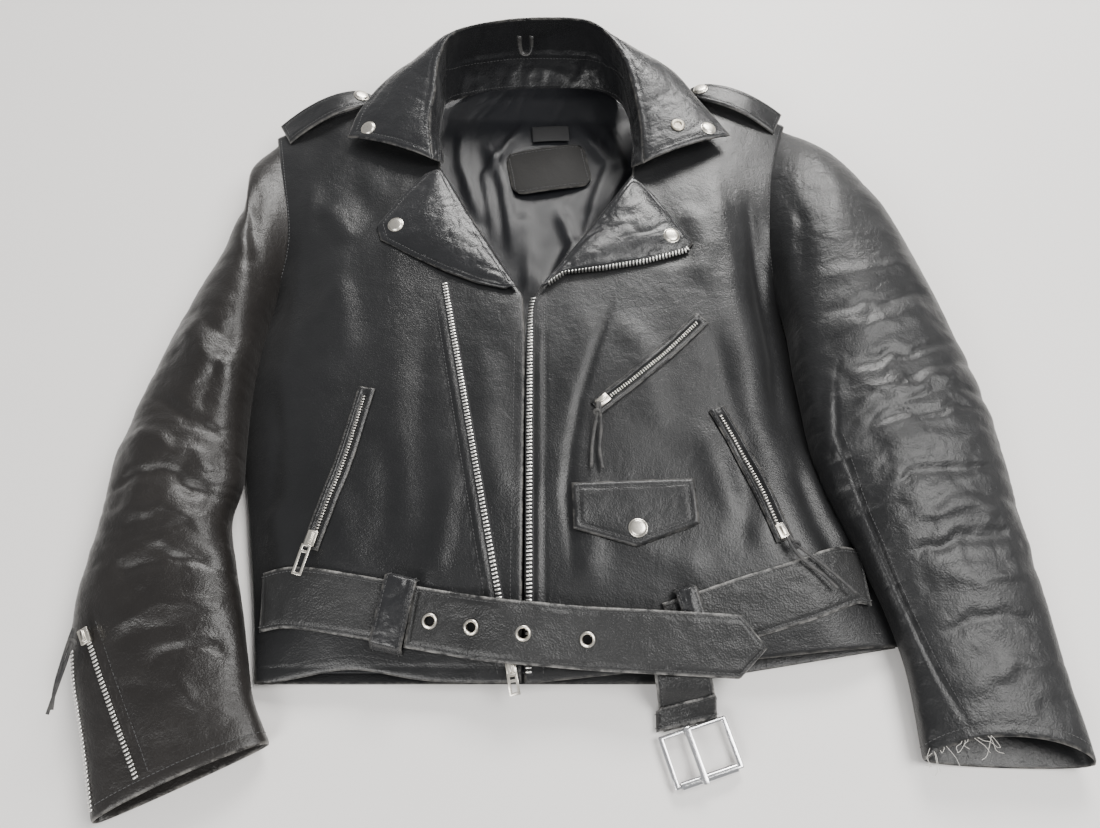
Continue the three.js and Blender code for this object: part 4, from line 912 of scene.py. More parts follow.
for side, (stations, folds, seam_line, material) in sleeves.items():
    piece = panel(f"{side}_sleeve_leather", sleeve(side, stations), SLEEVE_SIZE, material, 1.6, 2.2,
                  sleeve_relief(side, folds, seam_line), wrap=True)
    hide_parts(f"{side}_sleeve_top", f"{side}_sleeve_under")
    Vector(place([*BLEND_FROM[side], 30]))
    Vector(place([*BLEND_TO[side], 30]))
    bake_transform(piece)
    sleeve_pieces[side] = piece


# ---- Belt, loops and buckle strap ----
# The belt is a heavier pebbled hide, stitched near both edges and worn pale along them. It
# is sewn in three lengths: a side length, a tongue with four eyelets and a left length.
belt_leather = leather("belt_leather", (0.017, 0.0171, 0.0173), 0.3, 1.3, 0.27, 0.9, 0.9,
                       (0.27, 0.262, 0.25), 0.45)
BELT_WIDTH = 45
BELT_THICK = 2.4
BELT_SEAT = 3.4
TONGUE_SEAT = [[-112, 3.4], [-70, 4.4], [-45, 11], [-10, 11.5], [20, 9], [70, 13], [160, 13]]
SIDE_BELT = [[-226, -171], [-198, -170], [-132, -180], [-110, -184]]
TONGUE = [[-107, -185], [-76, -190], [-42, -196], [8, -200], [66, -204], [141, -208]]
LEFT_BELT = [[250, -151], [232, -152], [196, -165], [155, -177], [124, -187], [92, -197]]
TONGUE_POINT = 20.0
BELT_STITCH = 3.6


def strip(line, width, height, point=0.0):
    """A band across a plan line. With `point`, its end narrows to a tip over that many mm."""
    line = curve(line)
    near, far = line(np.array(0.0)), line(np.array(1.0))
    length = np.linalg.norm(far - near) + point
    body = 1 - point / length

    def surface(u, v):
        t = np.clip(v / body, 0, 1)
        centre = line(t)
        ahead = line(np.clip(t + 0.01, 0, 1)) - line(np.clip(t - 0.01, 0, 1))
        ahead /= np.linalg.norm(ahead, axis=-1, keepdims=True)
        past = np.clip((v - body) / (1 - body + 1e-9), 0, 1) if point else 0 * v
        half = (u - 0.5) * width * (1 - 0.97 * past)
        flat = centre + ahead * (past * point)[..., None]
        flat = flat + np.stack([ahead[..., 1], -ahead[..., 0]], -1) * half[..., None]
        return np.stack([flat[..., 0], flat[..., 1], height(flat[..., 0], flat[..., 1])], -1)
    return surface


def belt_relief(x, y, u, v, edge):
    groove = 0.9 * np.exp(-((edge - BELT_STITCH) / 1.1) ** 2)
    return 0.5 * noise(x / 22, y / 18) + 0.25 * noise(x / 7, y / 7) - groove


on_belt = lambda x, y: body_top(x, y) + BELT_SEAT + BELT_THICK
on_tongue = lambda x, y: body_top(x, y) + smooth(TONGUE_SEAT, x) + BELT_THICK + 0.3
side_belt = panel("belt_side_leather", strip(SIDE_BELT, BELT_WIDTH, on_belt), (BELT_WIDTH, 118),
                  belt_leather, BELT_THICK, 1.5, belt_relief)
belongs(side_belt, "jacket", ["belt_side"])
left_belt = panel("belt_left_leather", strip(LEFT_BELT, BELT_WIDTH, on_belt), (BELT_WIDTH, 168),
                  belt_leather, BELT_THICK, 1.5, belt_relief)
belongs(left_belt, "jacket", ["belt_left"])
tongue = panel("belt_tongue_leather", strip(TONGUE, BELT_WIDTH, on_tongue, TONGUE_POINT),
               (BELT_WIDTH, 270), belt_leather, BELT_THICK, 1.5, belt_relief)


def seat_of(node):
    """A small round CAD piece's lowest middle and its axis, in metres."""
    found = frame["nodes"][node].data.vertices
    points = np.array([vertex.co for vertex in found])
    centre = points.mean(0)
    axis = np.linalg.svd(points - centre, full_matrices=False)[2][2]
    axis *= np.sign(axis[2])
    return centre + axis * ((points - centre) @ axis).min(), axis


def along_axis(axis):
    return Vector(axis).to_track_quat("Z", "Y").to_matrix()


EYELETS = [f"eyelet_{i}" for i in (1, 2, 3, 4)]
HOLE_RADIUS = 4.6
BLADE = 12.0
punch = bmesh.new()
for node in EYELETS:
    foot, axis = seat_of(node)
    turn = along_axis(axis).to_4x4()
    bmesh.ops.create_cone(punch, cap_ends=True, segments=24, radius1=HOLE_RADIUS * MM,
                          radius2=HOLE_RADIUS * MM, depth=2 * BLADE * MM,
                          matrix=Matrix.Translation(Vector(foot)) @ turn)
punch_mesh = bpy.data.meshes.new("punch")
punch.to_mesh(punch_mesh)
punch.free()
punch = bpy.data.objects.new("punch", punch_mesh)
bpy.context.scene.collection.objects.link(punch)


def plain_copy(piece, name):
    """The evaluated piece as a plain mesh; the piece that it came from goes."""
    depsgraph = bpy.context.evaluated_depsgraph_get()
    mesh = bpy.data.meshes.new_from_object(piece.evaluated_get(depsgraph))
    mesh.name = name
    bpy.data.objects.remove(piece)
    made = bpy.data.objects.new(name, mesh)
    bpy.context.scene.collection.objects.link(made)
    return made


holes = tongue.modifiers.new("holes", "BOOLEAN")
holes.operation, holes.object, holes.solver = "DIFFERENCE", punch, "EXACT"
tongue = plain_copy(tongue, "belt_tongue_leather")
bpy.data.objects.remove(punch)
belongs(tongue, "belt_tongue", ["belt_tongue"])

# A loop is a strip of soft hide that stands over the belt, sewn down above and below it.
LOOP_REACH = 29.0
LOOP_STITCH = 2.6
LOOPS = {"right": ([-118, -182.5], 0.21, 9.6, 25), "left": ([110, -190.5], -0.29, 8.6, 17)}
for side, (centre, lean, height, width) in LOOPS.items():
    ahead = np.array([math.sin(lean), math.cos(lean)])
    across = np.array([ahead[1], -ahead[0]])

    def loop(u, v, centre=centre, ahead=ahead, across=across, height=height, width=width):
        along = (2 * v - 1) * LOOP_REACH
        flat = np.array(centre) + ahead * along[..., None] + across * ((u - 0.5) * width)[..., None]
        stand = np.clip((1 - np.abs(2 * v - 1)) / 0.17, 0, 1)
        rise = 1.2 + (height + 1.2) * np.sin(stand * math.pi / 2) + 1.2 * np.sin(math.pi * v)
        return np.concatenate([flat, (body_top(flat[..., 0], flat[..., 1]) + rise)[..., None]], -1)

    piece = panel(f"belt_loop_{side}_leather", loop, (width, 66), glossy_leather, 2.2, 1.4,
                  crinkled(1.5, 10, LOOP_STITCH, 1.4))
    belongs(piece, "jacket", [f"belt_loop_{side}"])

STRAP_WIDTH = 42
STRAP_LINE = [[98, -221], [99.5, -232], [102, -244], [105.5, -260]]
STRAP_SEAT = [[-262, 3], [-252, 4.4], [-244, 12], [-236, 21.5], [-231, 24], [-219, 25.4]]
KEEPER_WIDTH = 15


def strap_height(x, y):
    return smooth(STRAP_SEAT, y) + BELT_THICK


strap = panel("buckle_strap_leather", strip(STRAP_LINE, STRAP_WIDTH, strap_height),
              (STRAP_WIDTH, 44), belt_leather, BELT_THICK, 1.8, belt_relief)
belongs(strap, "jacket", ["buckle_strap"])


def keeper_surface(u, v):
    side = (2 * v - 1) * (STRAP_WIDTH / 2 + 3)
    drop = np.clip((np.abs(side) - STRAP_WIDTH / 2 + 1) / 4, 0, 1)
    x = 102.6 + side
    y = -252 + (u - 0.5) * KEEPER_WIDTH + 0.22 * side
    top = strap_height(x, y) + 2.4
    return np.stack([x, y, top - drop ** 2 * (top - 3)], -1)


keeper = panel("strap_keeper_leather", keeper_surface, (KEEPER_WIDTH, 58), belt_leather, 1.8, 1.5,
               belt_relief)
belongs(keeper, "jacket", ())


# ---- Pocket flap and epaulettes ----
# The coin pocket's flap and the shoulder straps are two layers of the body's hide, turned
# and stitched round their edges, each held down by a snap.
FLAP_FOOT = np.array([68.0, -133.5])
FLAP_UP = np.array([-2.0, 54.0]) / 54.04
FLAP_HALF, FLAP_RISE, FLAP_TOP = 49, 16, 54
EPAULETTES = {"right": ([-264, 289], [-180, 334]), "left": ([229, 304], [141, 343])}
EPAULETTE_SIZE = (31, 96)
FLAP_STITCH, EPAULETTE_STITCH = 5.5, 4.5


def flap_surface(u, v):
    a = (2 * u - 1) * FLAP_HALF
    low = FLAP_RISE * np.abs(2 * u - 1)
    b = FLAP_TOP + (low - FLAP_TOP) * v
    flat = FLAP_FOOT + FLAP_UP * b[..., None] + np.array([FLAP_UP[1], -FLAP_UP[0]]) * a[..., None]
    curl = 2.2 * np.abs(2 * u - 1) ** 3 * v + 1.4 * np.sin(math.pi * v)
    z = body_top(flat[..., 0], flat[..., 1]) + 3.6 + curl
    return np.concatenate([flat, z[..., None]], -1)


flap = panel("pocket_flap_leather", flap_surface, (98, 48), body_leather, 2.4, 1.7,
             crinkled(0.5, 14, FLAP_STITCH))
belongs(flap, "pocket_flap", ["pocket_flap"])

for side, (root, tip) in EPAULETTES.items():
    root, tip = np.array(root, float), np.array(tip, float)
    ahead = (tip - root) / np.linalg.norm(tip - root)
    across = np.array([ahead[1], -ahead[0]])

    def epaulette(u, v, root=root, ahead=ahead, across=across):
        width, length = EPAULETTE_SIZE
        share = 1 - 0.2 * v
        along = length * v - 13 * np.abs(2 * u - 1) ** 1.3 * np.clip(v * 2 - 1, 0, 1) ** 2
        flat = root + ahead * along[..., None] + across * ((u - 0.5) * width * share)[..., None]
        z = body_top(flat[..., 0], flat[..., 1]) + 2.6 + 6.5 * np.sin(math.pi * v) ** 0.8 + 1.6 * v
        return np.concatenate([flat, z[..., None]], -1)

    piece = panel(f"{side}_epaulette_leather", epaulette, EPAULETTE_SIZE, body_leather, 2.6, 1.7,
                  crinkled(0.6, 14, EPAULETTE_STITCH))
    belongs(piece, f"{side}_epaulette", [f"{side}_epaulette"])


# ---- Zips ----
# Each zip is bright nickel teeth clamped on black woven tape. The main zip lies open: one
# half slants over the right front, the other runs up the left edge and on round its lapel.
# The pocket zips are closed and lie in a slit between two turned leather lips.
def ground(*pieces):
    """Finds the top of these pieces over plan points, and the normals there."""
    corners, faces = [], []
    for piece in pieces:
        start = len(corners)
        corners += [vertex.co.copy() for vertex in piece.data.vertices]
        faces += [[start + i for i in face.vertices] for face in piece.data.polygons]
    tree = BVHTree.FromPolygons(corners, faces)

    def top(plan):
        spots, normals = [], []
        for x, y in np.asarray(plan, float).reshape(-1, 2):
            above = Vector(place([x, y, 1000]))
            hit, normal = tree.ray_cast(above, Vector((0, 0, -1)))[:2]
            if hit is None:
                hit, normal = tree.find_nearest(Vector(place([x, y, float(body_top(x, y))])))[:2]
            spots.append(unplace(hit))
            normals.append(np.array(normal))
        return np.array(spots), np.array(normals)
    return top


def laid(top, line, lift=0.0, step=2.0):
    """Points and normals along a plan line, laid on the pieces under it."""
    line = np.array(line, float)
    count = max(int(np.linalg.norm(np.diff(line, axis=0), axis=1).sum() / step), 4)
    points, normals = top(curve(line)(np.linspace(0, 1, count)))
    kernel = np.ones(5) / 5
    soften = lambda values: np.stack([np.convolve(np.pad(column, 2, "edge"), kernel, "valid")
                                      for column in values.T], 1)
    points, normals = soften(points), soften(normals)
    normals /= np.linalg.norm(normals, axis=1, keepdims=True)
    return points + normals * lift, normals


def inset_line(name, side, inset, start=0.0, end=1.0, trim=True):
    """Points and normals on a panel, a fixed distance in from one of its edges."""
    points, normals, travel_u, travel_v = grids[name]
    if side in ("top", "bottom"):
        points, normals = points.transpose(1, 0, 2), normals.transpose(1, 0, 2)
        travel_u, travel_v = travel_v.T, travel_u.T
    found = []
    rows = len(points)
    for j in range(int(start * (rows - 1)), int(end * (rows - 1)) + 1):
        length = travel_u[j, -1]
        at = inset if side in ("left", "bottom") else length - inset
        if length < 2 * inset:
            continue
        along = np.interp(at, travel_u[j], travel_v[j])
        whole = np.interp(at, travel_u[j], travel_v[-1])
        if trim and not inset <= along <= whole - inset:
            continue
        row = np.hstack([points[j], normals[j]])
        found.append([np.interp(at, travel_u[j], column) for column in row.T])
    found = np.array(found)
    return found[:, :3], found[:, 3:]


def spots_along(line, pitch, lift=0.0):
    """Evenly spaced places along (points, normals): centres, headings and normals."""
    points, normals = line
    steps = np.linalg.norm(np.diff(points, axis=0), axis=1)
    run = np.concatenate([[0], steps.cumsum()])
    at = np.arange(pitch / 2, run[-1], pitch)
    read = lambda values: np.stack([np.interp(at, run, column) for column in values.T], 1)
    ahead = np.gradient(points, axis=0)
    ahead /= np.linalg.norm(ahead, axis=1, keepdims=True) + 1e-9
    return read(points) + read(normals) * lift, read(ahead), read(normals)


def row_tree():
    """Copies of Shape on the points, turned by their ahead and up attributes."""
    tree = bpy.data.node_groups.new("rows", "GeometryNodeTree")
    sockets = (("Geometry", "NodeSocketGeometry"), ("Shape", "NodeSocketObject"),
               ("Material", "NodeSocketMaterial"), ("Spread", "NodeSocketFloat"),
               ("Seed", "NodeSocketInt"))
    for name, kind in sockets:
        tree.interface.new_socket(name, in_out="INPUT", socket_type=kind)
    tree.interface.new_socket("Geometry", in_out="OUTPUT", socket_type="NodeSocketGeometry")
    nodes, links = tree.nodes, tree.links
    given, made = nodes.new("NodeGroupInput"), nodes.new("NodeGroupOutput")
    shape = nodes.new("GeometryNodeObjectInfo")
    turn = nodes.new("FunctionNodeAxesToRotation")
    turn.primary_axis, turn.secondary_axis = "Z", "X"
    for name, socket in (("up", "Primary Axis"), ("ahead", "Secondary Axis")):
        held = nodes.new("GeometryNodeInputNamedAttribute")
        held.data_type = "FLOAT_VECTOR"
        held.inputs["Name"].default_value = name
        links.new(held.outputs["Attribute"], turn.inputs[socket])
    size = nodes.new("FunctionNodeRandomValue")
    size.data_type = "FLOAT"
    low = nodes.new("ShaderNodeMath")
    low.operation = "SUBTRACT"
    low.inputs[0].default_value = 1
    links.new(given.outputs["Spread"], low.inputs[1])
    low_socket, high_socket = [s for s in size.inputs if s.enabled and s.name in ("Min", "Max")]
    links.new(low.outputs[0], low_socket)
    high_socket.default_value = 1
    links.new(given.outputs["Seed"], size.inputs["Seed"])
    copies = nodes.new("GeometryNodeInstanceOnPoints")
    links.new(given.outputs["Geometry"], copies.inputs["Points"])
    links.new(given.outputs["Shape"], shape.inputs["Object"])
    links.new(shape.outputs["Geometry"], copies.inputs["Instance"])
    links.new(turn.outputs["Rotation"], copies.inputs["Rotation"])
    links.new([s for s in size.outputs if s.enabled][0], copies.inputs["Scale"])
    real = nodes.new("GeometryNodeRealizeInstances")
    links.new(copies.outputs["Instances"], real.inputs["Geometry"])
    paint = nodes.new("GeometryNodeSetMaterial")
    links.new(real.outputs["Geometry"], paint.inputs["Geometry"])
    links.new(given.outputs["Material"], paint.inputs["Material"])
    links.new(paint.outputs["Geometry"], made.inputs["Geometry"])
    return tree


rows = row_tree()


def repeat(name, spots, shape, material, spread=0.1, seed=1):
    """One plain mesh of copies of a shape at (centres, headings, normals)."""
    centres, aheads, ups = (np.concatenate(part) for part in zip(*spots))
    mesh = bpy.data.meshes.new(name)
    mesh.from_pydata(place(centres).tolist(), [], [])
    for key, values in (("ahead", aheads), ("up", ups)):
        layer = mesh.attributes.new(key, "FLOAT_VECTOR", "POINT")
        layer.data.foreach_set("vector", values.astype(np.float32).ravel())
    points = bpy.data.objects.new(name + "_points", mesh)
    bpy.context.scene.collection.objects.link(points)
    modifier = points.modifiers.new("rows", "NODES")
    modifier.node_group = rows
    values = {"Shape": shape, "Material": material, "Spread": spread, "Seed": seed}
    for item in rows.interface.items_tree:
        if item.in_out == "INPUT" and item.name in values:
            modifier[item.identifier] = values[item.name]
    made = plain_copy(points, name)
    for key in ("ahead", "up"):
        if key in made.data.attributes:
            made.data.attributes.remove(made.data.attributes[key])
    return made


def small_block(name, size, bevel):
    """A shape to repeat: a box with rounded edges, standing on its origin."""
    block = bmesh.new()
    bmesh.ops.create_cube(block, size=1)
    bmesh.ops.scale(block, vec=[side * MM for side in size], verts=block.verts)
    bmesh.ops.translate(block, vec=(0, 0, size[2] * MM / 2), verts=block.verts)
    bmesh.ops.bevel(block, geom=block.edges, offset=bevel * MM, segments=1, affect="EDGES")
    mesh = bpy.data.meshes.new(name)
    block.to_mesh(mesh)
    block.free()
    mesh.shade_smooth()
    made = bpy.data.objects.new(name, mesh)
    bpy.context.scene.collection.objects.link(made)
    return made


def metal(name, color, roughness, tarnish, wear=0.4):
    """Plated metal: uneven shine, faint tarnish in patches, and fine scratches."""
    paint = Paint(name)
    patches = paint.texture("ShaderNodeTexNoise", 320, Detail=5, Roughness=0.65).outputs["Fac"]
    scratches = paint.texture("ShaderNodeTexNoise", 2600, Detail=2).outputs["Fac"]
    dull = paint.spread(patches, 0.45, 0.75, 0, wear)
    paint.set(Metallic=1)
    return paint.plug(Base_Color=paint.mix(dull, color, tarnish),
                      Roughness=paint.spread(patches, 0.3, 0.8, roughness, roughness + 0.2),
                      Normal=paint.bump(scratches, 0.012))


nickel = metal("nickel", (0.78, 0.74, 0.66), 0.24, (0.42, 0.38, 0.31))
teeth_metal = metal("zip_teeth", (0.8, 0.79, 0.76), 0.26, (0.5, 0.48, 0.43), 0.5)
tape_cloth = cloth("zip_tape", (0.018, 0.018, 0.02), 0.7, 0.15, 2200)
TAPE_WIDTH, TAPE_LENGTH, TAPE_LIFT = 7.0, 330, 0.5
TOOTH = small_block("tooth", (1.75, 5.0, 1.6), 0.35)
TOOTH_PITCH = 3.1
FINE_TOOTH = small_block("fine_tooth", (1.25, 3.0, 1.0), 0.25)
# Painted shade: the pocket teeth are coloured a darker nickel than the main zip's, with large dark patches,
# for the shade of the slit they lie in.
slit_shaded_metal = metal("fine_teeth_painted_shade", (0.62, 0.6, 0.56), 0.3, (0.2, 0.19, 0.17), 0.8)
FINE_PITCH = 2.4
on_fronts = ground(*front_pieces)


def over_fronts(lift):
    """The height of something that lies on the fronts, lifted by some mm."""
    def height(x, y):
        return on_fronts(np.stack([x, y], -1))[0][:, 2].reshape(np.shape(x)) + lift
    return height


def turn_aside(line, across):
    """The same row, moved sideways along its own surface."""
    points, normals = line
    ahead = np.gradient(points, axis=0)
    ahead /= np.linalg.norm(ahead, axis=1, keepdims=True)
    return points + np.cross(ahead, normals) * across, normals


LEFT_CHAIN_CURVE = [[-16, -226], [-16, -150], [-16.5, -70], [-17, 10], [-16.5, 70], [-14, 92]]
for side, line in (("right", RIGHT_CHAIN), ("left", LEFT_CHAIN_CURVE)):
    woven = panel(f"main_zip_{side}_tape", strip(line, TAPE_WIDTH, over_fronts(TAPE_LIFT)),
                  (TAPE_WIDTH, TAPE_LENGTH), tape_cloth, 0.8, 2.6)
    belongs(woven, "jacket", [f"main_zip_{side}"])
    row = laid(on_fronts, line, 0.9)
    teeth = repeat(f"main_zip_{side}_teeth", [spots_along(row, TOOTH_PITCH)], TOOTH, teeth_metal)
    belongs(teeth, "jacket", ())
lapel_row = inset_line("left_lapel_leather", "right", 0.6, 0.02, 0.52, trim=False)
teeth = repeat("main_zip_lapel_teeth", [spots_along(turn_aside(lapel_row, -0.8), TOOTH_PITCH, -0.5)],
               TOOTH, teeth_metal)
belongs(teeth, "left_lapel", ["main_zip_lapel"])

WELT_WIDTH = 14.5
WELT_LIFT = 2.2


def welt_relief(length):
    def relief(x, y, u, v, edge):
        aside = np.abs(2 * u - 1) * WELT_WIDTH / 2
        ends = np.clip((np.minimum(v, 1 - v) * length - 5) / 2, 0, 1)
        slit = np.exp(-(aside / 2.7) ** 4) * ends
        lip = np.exp(-((aside - 4.2) / 1.2) ** 2)
        return 0.9 * lip - 1.6 * slit + 0.25 * noise(x / 6, y / 6)
    return relief


POCKETS = {"right_pocket": ([-187, -134], [-153, 2]), "left_pocket": ([183, -128], [138, -16]),
           "chest": ([38, -16], [133, 70])}
for name, (start, end) in POCKETS.items():
    start, end = np.array(start, float), np.array(end, float)
    bulge = np.array([end[1] - start[1], start[0] - end[0]]) * 0.02
    line = [start, (start + end) / 2 + bulge, end]
    length = np.linalg.norm(end - start)
    welt = panel(f"{name}_welt", strip(line, WELT_WIDTH, over_fronts(WELT_LIFT)),
                 (WELT_WIDTH, length), body_leather, 1.2, 1.3, welt_relief(length))
    belongs(welt, "jacket")
    slit = ground(welt)
    row = laid(slit, np.array(line) + (end - start) / length * [[5], [0], [-5]], 0.1)
    # The pocket teeth take the metal with the slit's shade painted into its colour.
    teeth = repeat(f"{name}_teeth", [spots_along(row, FINE_PITCH)], FINE_TOOTH, slit_shaded_metal, 0.05, 3)
    belongs(teeth, "jacket", [f"{name}_zip"])

on_sleeve = ground(sleeve_pieces["right"])
CUFF_ZIP = [[-348, -193], [-322, -240], [-289, -298]]
CUFF_EDGE = [[-357, -208], [-349, -240], [-336, -274], [-320, -320]]
CUFF_TOOTH = small_block("cuff_tooth", (1.7, 4.2, 1.6), 0.35)
CUFF_PITCH = 2.9
row = laid(on_sleeve, CUFF_ZIP, 0.4)
other = laid(on_sleeve, CUFF_EDGE, 0.4)
teeth = repeat("cuff_zip_teeth", [spots_along(line, CUFF_PITCH) for line in (row, other)],
               CUFF_TOOTH, teeth_metal)
belongs(teeth, "right_sleeve", ["cuff_zip"])


# ---- Snaps, eyelets, sliders and buckle ----
# The caps and eyelets are nickel-plated brass, pressed through the hide and rolled over. The
# sliders are die-cast, and the buckle is chromed wire with a roller on its far bar.
def lathe(name, profile, foot, axis, material, closed=False, segments=40):
    """A turned piece from (radius, height) in mm, on a foot in metres, round an axis."""
    profile = np.array(profile, float) * MM
    angles = 2 * math.pi * np.arange(segments) / segments
    turn = np.array(along_axis(axis))
    rings = np.stack([np.outer(profile[:, 0], np.cos(angles)), np.outer(profile[:, 0], np.sin(angles)),
                      np.repeat(profile[:, 1:], segments, 1)], -1)
    count = len(profile)
    index = np.arange(count * segments).reshape(count, segments)
    rows = np.vstack([index, index[:1]]) if closed else index
    a, b = rows[:-1], np.roll(rows[:-1], -1, 1)
    faces = np.stack([a, b, np.roll(rows[1:], -1, 1), rows[1:]], -1).reshape(-1, 4).tolist()
    if not closed:
        faces += [index[0, ::-1].tolist(), index[-1].tolist()]
    points = rings.reshape(-1, 3) @ turn.T + np.array(foot)
    made = finish_mesh(name, unplace(points), faces, material)
    face_outwards(made, weld=True)
    made.data.set_sharp_from_angle(angle=math.radians(40))
    return made


dull_nickel = metal("dull_nickel", (0.42, 0.39, 0.33), 0.38, (0.2, 0.18, 0.15), 0.7)
CAP = [(6.9, -0.8), (7.4, -0.6), (7.5, 0), (7.4, 0.35), (6.7, 0.55), (6.5, 0.8), (6.2, 1.3),
       (5.3, 1.75), (4, 2.0), (2, 2.12), (0.01, 2.15)]
STUD = [(6.4, -0.8), (6.9, 0), (6.8, 0.8), (6, 1.4), (4.6, 1.6), (3.6, 1.3), (3.2, 0.5), (0.01, 0.4)]
shown = {obj.name: obj for obj in bpy.context.scene.objects}
SNAPS = {"right_collar_snap": "jacket", "left_collar_snap": "jacket", "left_collar_stud": "jacket",
         "right_lapel_snap": "right_lapel", "left_lapel_snap": "left_lapel",
         "flap_snap": "pocket_flap", "right_epaulette_snap": "right_epaulette",
         "left_epaulette_snap": "left_epaulette"}
for node, body in SNAPS.items():
    under = "collar_fall" if body == "jacket" else body
    top = ground(shown[under + "_leather"])
    around = unplace(seat_of(node)[0])[:2] + np.array([[0, 0], [5, 0], [-5, 0], [0, 5], [0, -5]])
    hits, normals = top(around)
    axis = normals.mean(0) / np.linalg.norm(normals.mean(0))
    is_stud = node.endswith("stud")
    cap = lathe(node + "_cap", STUD if is_stud else CAP, place(hits.mean(0)), axis,
                dull_nickel if is_stud else nickel)
    belongs(cap, body, [node])

RING = [(3.7, -2.4), (3.7, 0.5), (4.0, 1.1), (4.6, 1.5), (5.3, 1.35), (5.9, 0.8), (6.1, 0.2),
        (5.9, -0.1), (4.3, -0.1), (4.3, -2.4)]
for node in EYELETS:
    foot, axis = seat_of(node)
    seat = foot + axis * 2.4 * MM
    ring = lathe(node + "_ring", RING, seat, axis, nickel, closed=True)
    belongs(ring, "belt_tongue", [node])


def bevelled(node, width, material, segments=2):
    """The CAD piece's own shape with its edges rounded, on the body of the same name."""
    piece = bpy.data.objects.new(node + "_metal", frame["nodes"][node].data.copy())
    bpy.context.scene.collection.objects.link(piece)
    piece.data.materials.clear()
    piece.data.materials.append(material)
    tidy = bmesh.new()
    tidy.from_mesh(piece.data)
    bmesh.ops.remove_doubles(tidy, verts=tidy.verts, dist=1e-6)
    bmesh.ops.dissolve_limit(tidy, angle_limit=math.radians(2), verts=tidy.verts, edges=tidy.edges)
    tidy.to_mesh(piece.data)
    tidy.free()
    rounding = piece.modifiers.new("rounding", "BEVEL")
    rounding.width, rounding.segments = width * MM, segments
    rounding.limit_method, rounding.angle_limit = "ANGLE", math.radians(35)
    piece = plain_copy(piece, node + "_metal")
    piece.data.shade_smooth()
    piece.data.set_sharp_from_angle(angle=math.radians(50))
    belongs(piece, node, [node])


chrome = metal("chrome", (0.83, 0.83, 0.84), 0.1, (0.6, 0.58, 0.54), 0.25)
for node in ("main_slider", "main_pull", "right_pocket_slider", "right_pocket_pull",
             "left_pocket_slider", "chest_slider", "cuff_slider"):
    bevelled(node, 0.45, nickel)
bevelled("buckle_frame", 1.1, chrome, 3)
bevelled("buckle_prong", 0.7, chrome, 3)
roller_points = np.array([v.co for v in frame["nodes"]["buckle_roller"].data.vertices])
roller_middle = roller_points.mean(0)
roller_axis = np.linalg.svd(roller_points - roller_middle, full_matrices=False)[2][0]
reach = np.abs((roller_points - roller_middle) @ roller_axis).max() / MM
roller = lathe("buckle_roller_metal", [(2.4, -reach), (3.4, -reach), (3.7, -reach + 0.3),
                                       (3.7, reach - 0.3), (3.4, reach), (2.4, reach)],
               roller_middle, roller_axis, chrome, closed=True)
belongs(roller, "buckle_roller", ["buckle_roller"])


# ---- Leather laces ----
# The chest, left pocket and cuff sliders are each pulled by a thin leather lace, looped
# through and knotted, with its two ends left long.
LACE_WIDTH, LACE_THICK = 2.8, 1.3
lace_leather = leather("lace_leather", (0.022, 0.022, 0.023), 0.5, 0.8, 0.08, 0.3, 0.5, WORN)
LACES = {
    "chest": ("chest_slider", "chest_thong", [
        [[39, -15, 57], [38.5, -24, 55], [36, -38, 50.5], [34, -52, 49], [33, -70, 49]],
        [[40.5, -15.5, 57], [41, -25, 55], [41.5, -38, 50.5], [40, -54, 49.4], [42, -71, 49]]]),
    "left_pocket": ("left_pocket_slider", "left_pocket_thong", [
        [[184, -126, 49], [189, -133, 48], [200, -141, 45.5], [214, -152, 42.5], [234, -169, 37]],
        [[182.5, -127, 49], [186, -135, 47.6], [195, -146, 46], [207, -155, 44], [219, -166, 41]]]),
    "cuff": ("cuff_slider", "cuff_thong", [
        [[-349, -196, 47], [-350, -206, 45.5], [-353, -220, 42], [-357, -236, 38.5], [-361, -255, 35.5]],
        [[-350.5, -196, 47], [-353, -207, 45], [-356.5, -222, 41], [-359, -236, 37.5],
         [-358, -252, 36.5]]])}
for name, (body, node, strands) in LACES.items():
    for i, points in enumerate(strands):
        lace = sweep(f"{name}_lace_{i + 1}", points, oval(LACE_WIDTH, LACE_THICK, 8), lace_leather)
        belongs(lace, body, [node] if i == 0 else ())
        fine = curve(points)(np.linspace(0, 1, 60))
        length = np.linalg.norm(np.diff(fine, axis=0), axis=1).sum() * MM
        tuple(place(fine[0]))
        place(fine).tolist()
    first = np.array(strands[0][1], float)
    knot_points = first + np.array([[-2.6, 0, -0.4], [-1, 1.6, 1.2], [1.6, 1, 1.2], [2.6, -1, -0.2],
                                    [0.4, -1.8, -1.2]])
    knot = sweep(f"{name}_lace_knot", knot_points, oval(2.6, 1.9, 8), lace_leather, closed=True,
                 step=0.8)
    belongs(knot, body)


# ---- Stitching ----
# Black bonded thread, about seven stitches to the inch, runs round every turned edge and
# along the open seams. A few ends have pulled loose and frayed white at the left cuff.
THREAD = Paint("thread")
twist = THREAD.texture("ShaderNodeTexWave", 2600, Distortion=2).outputs["Fac"]
THREAD.set(Sheen_Weight=0.2, Roughness=0.55)
thread = THREAD.plug(Base_Color=THREAD.mix(twist, (0.018, 0.018, 0.019), (0.055, 0.055, 0.056)),
                     Normal=THREAD.bump(twist, 0.05))
STITCH = small_block("stitch", (2.6, 0.62, 0.5), 0.16)
STITCH_PITCH = 3.5
WELT_STITCH = 1.7
all_round = lambda name, inset: [inset_line(name, side, inset) for side in
                                 ("left", "right", "top", "bottom")]
lapel_sides = lambda name: [inset_line(name, side, COLLAR_STITCH) for side in ("right", "top")]
long_sides = lambda name, inset: [inset_line(name, side, inset, trim=False)
                                  for side in ("left", "right")]
